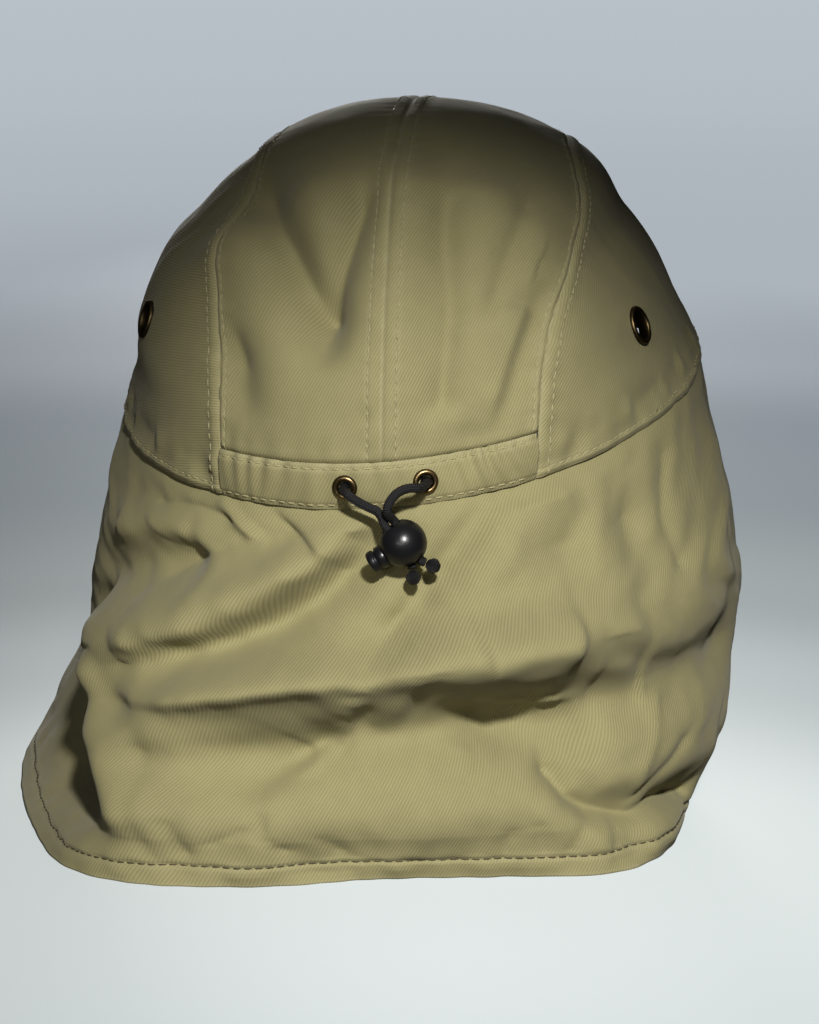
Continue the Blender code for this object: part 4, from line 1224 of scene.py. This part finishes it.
def peak_piece(name, rows=70, columns=180):
    end = PEAK_HALF_ANGLE - PEAK_END
    angle = end * (2 * close_ends(columns, 0.8) - 1)[None, :]
    reach = close_ends(rows, 0.6)[:, None]
    angle, reach = np.broadcast_arrays(angle, reach)
    base = peak_point(angle, reach)
    out_from_band, along = arcs(base, 0), arcs(base, 1)
    to_rim = out_from_band[-1:] - out_from_band
    relief = 0.00018 * rumple(base[..., 0], base[..., 1], 0.006, 81)
    for distance in PEAK_ROWS:
        relief = relief - PEAK_GROOVE * bell(to_rim - distance, PEAK_GROOVE_WIDTH)
    round_rim = np.sqrt(np.clip(to_rim / 0.0014, 0.02, 1))
    half = PEAK_THICKNESS / 2 * round_rim
    outer = peak_point(angle, reach, half + relief * round_rim)
    inner = peak_point(angle, reach, -half - relief * round_rim)
    wear = edge_wear(to_rim, PEAK_ROWS[0])
    return cloth_piece(name, strip_twill, outer, inner, base[..., :2], wear, rim=to_rim)


peak = peak_piece("peak_cloth")
print("peak has", len(peak.piece.data.polygons), "faces")

# %% [markdown]
# ## Stitches
# Topstitching holds the seam allowances flat and is the finest thing that the eye finds on a cap. It
# could be a texture, but thread stands on the cloth and catches light, so each stitch is a short length
# of thread that dives into the cloth at both ends. The rows follow lines of equal distance to a seam.

# %% Rows of stitches
STITCH_LENGTH, STITCH_GAP, THREAD_RADIUS = 0.0026, 0.0005, 0.00023
STITCH_RISE, STITCH_SWELL = (-1.0, 0.35, 0.75, 0.75, 0.35, -1.0), (0.6, 0.95, 1.0, 1.0, 0.95, 0.6)
RINGS, SIDES = len(STITCH_RISE), 6
ALL = slice(None)


def line_on(cloth, edge, distance, rows=ALL, columns=ALL, turned=False):
    """Line on a cloth grid at one distance from an edge, with the cloth's lean there."""
    grids = [values[rows, columns] for values in (cloth.outer, cloth.lean, cloth.apart[edge])]
    if turned:
        grids = [np.swapaxes(values, 0, 1) for values in grids]
    points, leans = [], []
    for row, off, values in zip(*grids):
        if values[0] > values[-1]:
            row, off, values = row[::-1], off[::-1], values[::-1]
        points.append([np.interp(distance, values, row[:, side]) for side in range(3)])
        leans.append([np.interp(distance, values, off[:, side]) for side in range(3)])
    return np.array(points), np.array(leans)


def stitch_rows(name, rows, thread):
    """One piece of thread with a stitch every few millimetres of each row."""
    points, faces = [], []
    angles = np.linspace(0, 2 * math.pi, SIDES, endpoint=False)
    cosines, sines = np.cos(angles)[None, :, None], np.sin(angles)[None, :, None]
    rise, swell = np.array(STITCH_RISE) * THREAD_RADIUS, np.array(STITCH_SWELL) * THREAD_RADIUS
    for line, lean in rows:
        line, lean = world(line), lean * np.array([-1.0, 1.0, 1.0])
        runs = runs_along(line)
        for number in range(int(runs[-1] / (STITCH_LENGTH + STITCH_GAP))):
            at = number * (STITCH_LENGTH + STITCH_GAP) + STITCH_LENGTH * np.linspace(0, 1, RINGS)
            middle = np.stack([np.interp(at, runs, line[:, side]) for side in range(3)], -1)
            up = unit(np.stack([np.interp(at, runs, lean[:, side]) for side in range(3)], -1))
            aside = unit(np.cross(np.gradient(middle, axis=0), up))
            middle = middle + up * rise[:, None]
            section = cosines * aside[:, None] + sines * up[:, None]
            faces += ring_faces(RINGS, SIDES, RINGS * SIDES * len(points))
            points.append(middle[:, None] + swell[:, None, None] * section)
    piece = add_piece(name, new_mesh(name, points, faces))
    piece.data.materials.append(thread)
    print(name, len(points), "stitches")
    return piece


def thread_material(name, colour):
    made, tree, shader = new_material(name, 0.6)
    fibre = noise(tree, node(tree, "ShaderNodeTexCoord").outputs["Object"], 4000.0, 1.0)
    shade = tuple(0.6 * share for share in colour[:3]) + (1,)
    put(tree, shader.inputs["Base Color"], blend_colours(tree, fibre, shade, colour))
    return made


khaki_thread = thread_material("khaki_thread", (0.46, 0.42, 0.24, 1))
# Painted shade: the hem's thread is nearly black, standing in for the shade in its stitch groove.
painted_shade_hem_thread = thread_material("painted_shade_hem_thread", (0.10, 0.085, 0.045, 1))


# %% All the stitching
centre_rows = [line_on(strip, "centre", CENTRE_STITCH) for strip in strips]
side_rows = [line_on(strip, "seam", STRIP_STITCH) for strip in strips]
side_rows += [line_on(panel, "seam", PANEL_STITCH, turned=True) for panel in panels]
stitch_rows("stitching_centre_seam", centre_rows, khaki_thread)
stitch_rows("stitching_side_seams", side_rows, khaki_thread)

lower_rows = []
for panel in panels:
    half = panel.outer.shape[1] // 2
    for part in (slice(0, half), slice(half, None)):
        lower_rows.append(line_on(panel, "band", LOWER_STITCH, slice(6, -3), part))
for edge, distance in (("top", CASING_TOP_STITCH), ("foot", CASING_FOOT_STITCH)):
    lower_rows.append(line_on(casing, edge, distance, columns=slice(4, -4), turned=True))
stitch_rows("stitching_band", lower_rows, khaki_thread)

hem_rows = [line_on(flap, "hem", HEM_STITCH, columns=slice(9, -9), turned=True)]
hem_rows += [line_on(flap, edge, HEM_STITCH, rows=slice(4, -14)) for edge in ("left", "right")]
hem_stitching = stitch_rows("stitching_hem", hem_rows, painted_shade_hem_thread)
peak_rows = [line_on(peak, "rim", row, columns=slice(14, -14), turned=True) for row in PEAK_ROWS]
stitch_rows("stitching_peak", peak_rows, khaki_thread)

# %% [markdown]
# ## Brass eyelets
# An eyelet is a rolled ring pressed from thin brass, with an antique finish: brown in the hollows and
# rubbed bright on the rim. Its section is turned round the axis of its seat. The vents stand in holes
# cut through the cloth, so the light that falls through them is real, and the cord eyelets in holes that
# end inside the casing.

# %% Brass and holes
def brass_material(name):
    made, tree, shader = new_material(name, 0.36, 1.0)
    place = node(tree, "ShaderNodeTexCoord").outputs["Object"]
    patches = maths(tree, "MULTIPLY_ADD", noise(tree, place, 900.0, 3.0, 0.6), 1.2, 0.25)
    mask = maths(tree, "MULTIPLY", read_mask(tree, "wear"), patches)
    mask = maths(tree, "MINIMUM", mask, 1.0)
    dark, bright = (0.030, 0.022, 0.013, 1), (0.34, 0.25, 0.13, 1)
    put(tree, shader.inputs["Base Color"], blend_colours(tree, mask, dark, bright))
    put(tree, shader.inputs["Roughness"], maths(tree, "MULTIPLY_ADD", mask, -0.18, 0.52))
    return made


antique_brass = brass_material("antique_brass")
THIN_RING_HOLE, THROUGH, RING_BARREL, AXIS_RADIUS = 0.0043, 0.006, 0.0024, 0.00001
RUB_WIDTH, LEAST_RUB = 0.0009, 0.15


def drill(piece, centre, axis, radius, start, end):
    """Cut a round hole into a piece along an axis and keep the result as the piece's own mesh."""
    profile = [(AXIS_RADIUS, start), (radius, start), (radius, end), (AXIS_RADIUS, end)]
    mesh = turned_mesh("drill", profile, centre, axis, 48)
    tidy_mesh(mesh, 5 * AXIS_RADIUS)
    cutter = bpy.data.objects.new("drill", mesh)
    bpy.context.collection.objects.link(cutter)
    hole = piece.modifiers.new("hole", "BOOLEAN")
    hole.operation, hole.solver, hole.object = "DIFFERENCE", "EXACT", cutter
    graph = bpy.context.evaluated_depsgraph_get()
    finished = bpy.data.meshes.new_from_object(piece.evaluated_get(graph))
    piece.modifiers.clear()
    piece.data = finished
    bpy.data.objects.remove(cutter)


def rolled_ring(kind, label, seat, radius, hole, depth):
    """Ring with a round rolled rim outside and a barrel down its hole."""
    centre, axis = seat
    crest = (radius + hole) / 2 + 0.0002
    profile = [(hole, -depth), (hole, 0.0)]
    for step in range(19):
        slope = math.pi * step / 18
        across = (radius - hole) / 2 * -math.cos(slope) + (radius + hole) / 2
        profile.append((across, 0.0001 + EYELET_LIP * math.sin(slope) ** 0.7))
    profile += [(radius, 0.00005), (hole + EYELET_WALL, 0.00005), (hole + EYELET_WALL, -depth)]
    piece = lathe(kind + "_ring_" + label, profile, centre, axis, 64)
    spots = np.array([vertex.co for vertex in piece.data.vertices]) - np.array(centre)
    out = spots @ np.array(axis)
    from_axis = np.linalg.norm(spots - out[:, None] * np.array(axis), axis=1)
    rub = np.clip(out / EYELET_LIP, 0, 1) ** 2 * bell(from_axis - crest, RUB_WIDTH)
    set_mask(piece.data, "wear", rub + LEAST_RUB)
    piece.data.materials.append(antique_brass)
    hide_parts(kind + "_eyelet_" + label)


for label, place, panel in (("left", VENT_LEFT, panels[0]), ("right", VENT_RIGHT, panels[1])):
    seat = surface_seat(*place)
    drill(panel.piece, *seat, THIN_RING_HOLE + EYELET_WALL, -THROUGH, THROUGH)
    rolled_ring("vent", label, seat, VENT_RADIUS, THIN_RING_HOLE, RING_BARREL)
for label, across in (("left", CORD_EYELET_LEFT), ("right", CORD_EYELET_RIGHT)):
    seat = cord_seat(across)
    drill(casing.piece, *seat, CORD_EYELET_HOLE_RADIUS + EYELET_WALL, -BLIND_DEPTH, THROUGH)
    rolled_ring("cord", label, seat, CORD_EYELET_RADIUS, CORD_EYELET_HOLE_RADIUS, BLIND_DEPTH - GAP)
print("eyelets set")

# %% [markdown]
# ## Cord lock
# The lock is a moulded ball with one channel for both cord ends and a spring button at right angles to
# it. A ball with a hole could be cut by a boolean, but turning its section round the channel's axis
# gives the hole a soft moulded lip. The button's socket is then cut from the side.

# %% Lock
LOCK_RADIUS, LOCK_CENTRE = 0.0067, (0.0069, 0.1107, 0.0955)
CHANNEL_AXIS, BUTTON_AXIS = (0.56, 0.0, -0.83), (-0.83, 0.0, -0.56)
CHANNEL_RADIUS, BUTTON_RADIUS, BUTTON_START, BUTTON_END = 0.0031, 0.0033, 0.0050, 0.0108
# Channel's mouth: widening and depth below the ball's rim. Button: cut below its radius and its end.
CHANNEL_LIP, CHANNEL_MOUTH = 0.0005, ((0.00025, -0.0001), (0.00005, 0.0002), (0.0, 0.0006))
BUTTON_SECTION = (
    (0.0, 0.0030), (0.0002, 0.0028), (0.0006, 0.0026), (0.0006, 0.0021), (0.0001, 0.0019),
    (0.0, 0.0016), (0.0, 0.0006), (0.0002, 0.0002), (0.0006, 0.0), (0.0012, 0.0001),
)
SOCKET_GAP, SOCKET_FLOOR, SOCKET_END, BUTTON_MIDDLE, BUTTON_HOLLOW = 0.00025, 0.0003, 0.02, 0.0002, 0.0003
lock_centre = Vector(world(np.array(LOCK_CENTRE)))
channel_axis, button_axis = world_axis(CHANNEL_AXIS), world_axis(BUTTON_AXIS)


def lock_ball():
    start, profile = math.asin((CHANNEL_RADIUS + CHANNEL_LIP) / LOCK_RADIUS), []
    for step in range(41):
        slope = start + (math.pi - 2 * start) * step / 40
        profile.append((LOCK_RADIUS * math.sin(slope), LOCK_RADIUS * math.cos(slope)))
    reach = LOCK_RADIUS * math.cos(start)
    profile += [(CHANNEL_RADIUS + wider, deep - reach) for wider, deep in CHANNEL_MOUTH]
    profile += [(CHANNEL_RADIUS + wider, reach - deep) for wider, deep in CHANNEL_MOUTH[::-1]]
    ball = lathe("cord_lock_ball", profile, lock_centre, channel_axis, 96)
    socket_radius, socket_floor = BUTTON_RADIUS + SOCKET_GAP, BUTTON_START - SOCKET_FLOOR
    drill(ball, lock_centre, button_axis, socket_radius, socket_floor, SOCKET_END)
    return ball


def lock_button():
    profile = [(BUTTON_MIDDLE, BUTTON_START), (BUTTON_RADIUS, BUTTON_START)]
    profile += [(BUTTON_RADIUS - cut, BUTTON_END - below) for cut, below in BUTTON_SECTION]
    profile.append((BUTTON_MIDDLE, BUTTON_END - BUTTON_HOLLOW))
    return lathe("cord_lock_button", profile, lock_centre, button_axis, 64)


def satin_plastic(name):
    made, tree, shader = new_material(name, 0.30)
    place = node(tree, "ShaderNodeTexCoord").outputs["Object"]
    add_bump(tree, shader, noise(tree, place, 3200.0), 0.00006, 0.35)
    smears = noise(tree, place, 260.0, 3.0)
    put(tree, shader.inputs["Roughness"], maths(tree, "MULTIPLY_ADD", smears, 0.16, 0.24))
    shader.inputs["Base Color"].default_value = (0.014, 0.014, 0.016, 1)
    return made


lock_pieces = [lock_ball(), lock_button()]
black_plastic = satin_plastic("black_plastic")
for piece, node_name in zip(lock_pieces, ("lock_ball", "lock_button")):
    piece.data.materials.append(black_plastic)
    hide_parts(node_name)
print("lock has", len(lock_pieces[0].data.polygons), "faces")

# %% [markdown]
# ## Cord finish
# The cord has a braided cover, so its black is broken by a fine diagonal pattern.

# %% Braid
STRAND_SPACING = 0.00102


def braid_material(name):
    """Black braid: two sets of strands that cross over the tube's map."""
    made, tree, shader = new_material(name, 0.62)
    place = node(tree, "ShaderNodeUVMap", uv_map="weave").outputs[0]
    parts = node(tree, "ShaderNodeSeparateXYZ", place).outputs
    strands = []
    for lean in (1.0, -1.0):
        lane = maths(tree, "MULTIPLY_ADD", parts[0], lean, parts[1])
        strands.append(maths(tree, "SINE", maths(tree, "MULTIPLY", lane, 2 * math.pi / STRAND_SPACING)))
    share = maths(tree, "MULTIPLY_ADD", maths(tree, "MULTIPLY", *strands), 0.5, 0.5)
    colour = blend_colours(tree, share, (0.006, 0.006, 0.007, 1), (0.020, 0.020, 0.022, 1))
    put(tree, shader.inputs["Base Color"], colour)
    add_bump(tree, shader, share, 0.0002)
    return made


black_braid = braid_material("black_braid")
for piece in (cord_left, cord_right, bead_left, bead_right):
    piece.data.materials.append(black_braid)
print("braid on", black_braid.users, "pieces")

# %% [markdown]
# ## Flat size of the flap
# The flap is a sheet, cut flat before it was sewn on, and each cord end is a short free cord that ends in
# its bead. Here the flap's flat width and length are measured along the cloth.

# %% Flat size of the flap
flat_width = float(arcs(flap.outer, 1)[:, -1].mean())
flat_length = float(arcs(flap.outer, 0)[-1].mean())
print("flap flat", round(flat_width, 3), round(flat_length, 3))
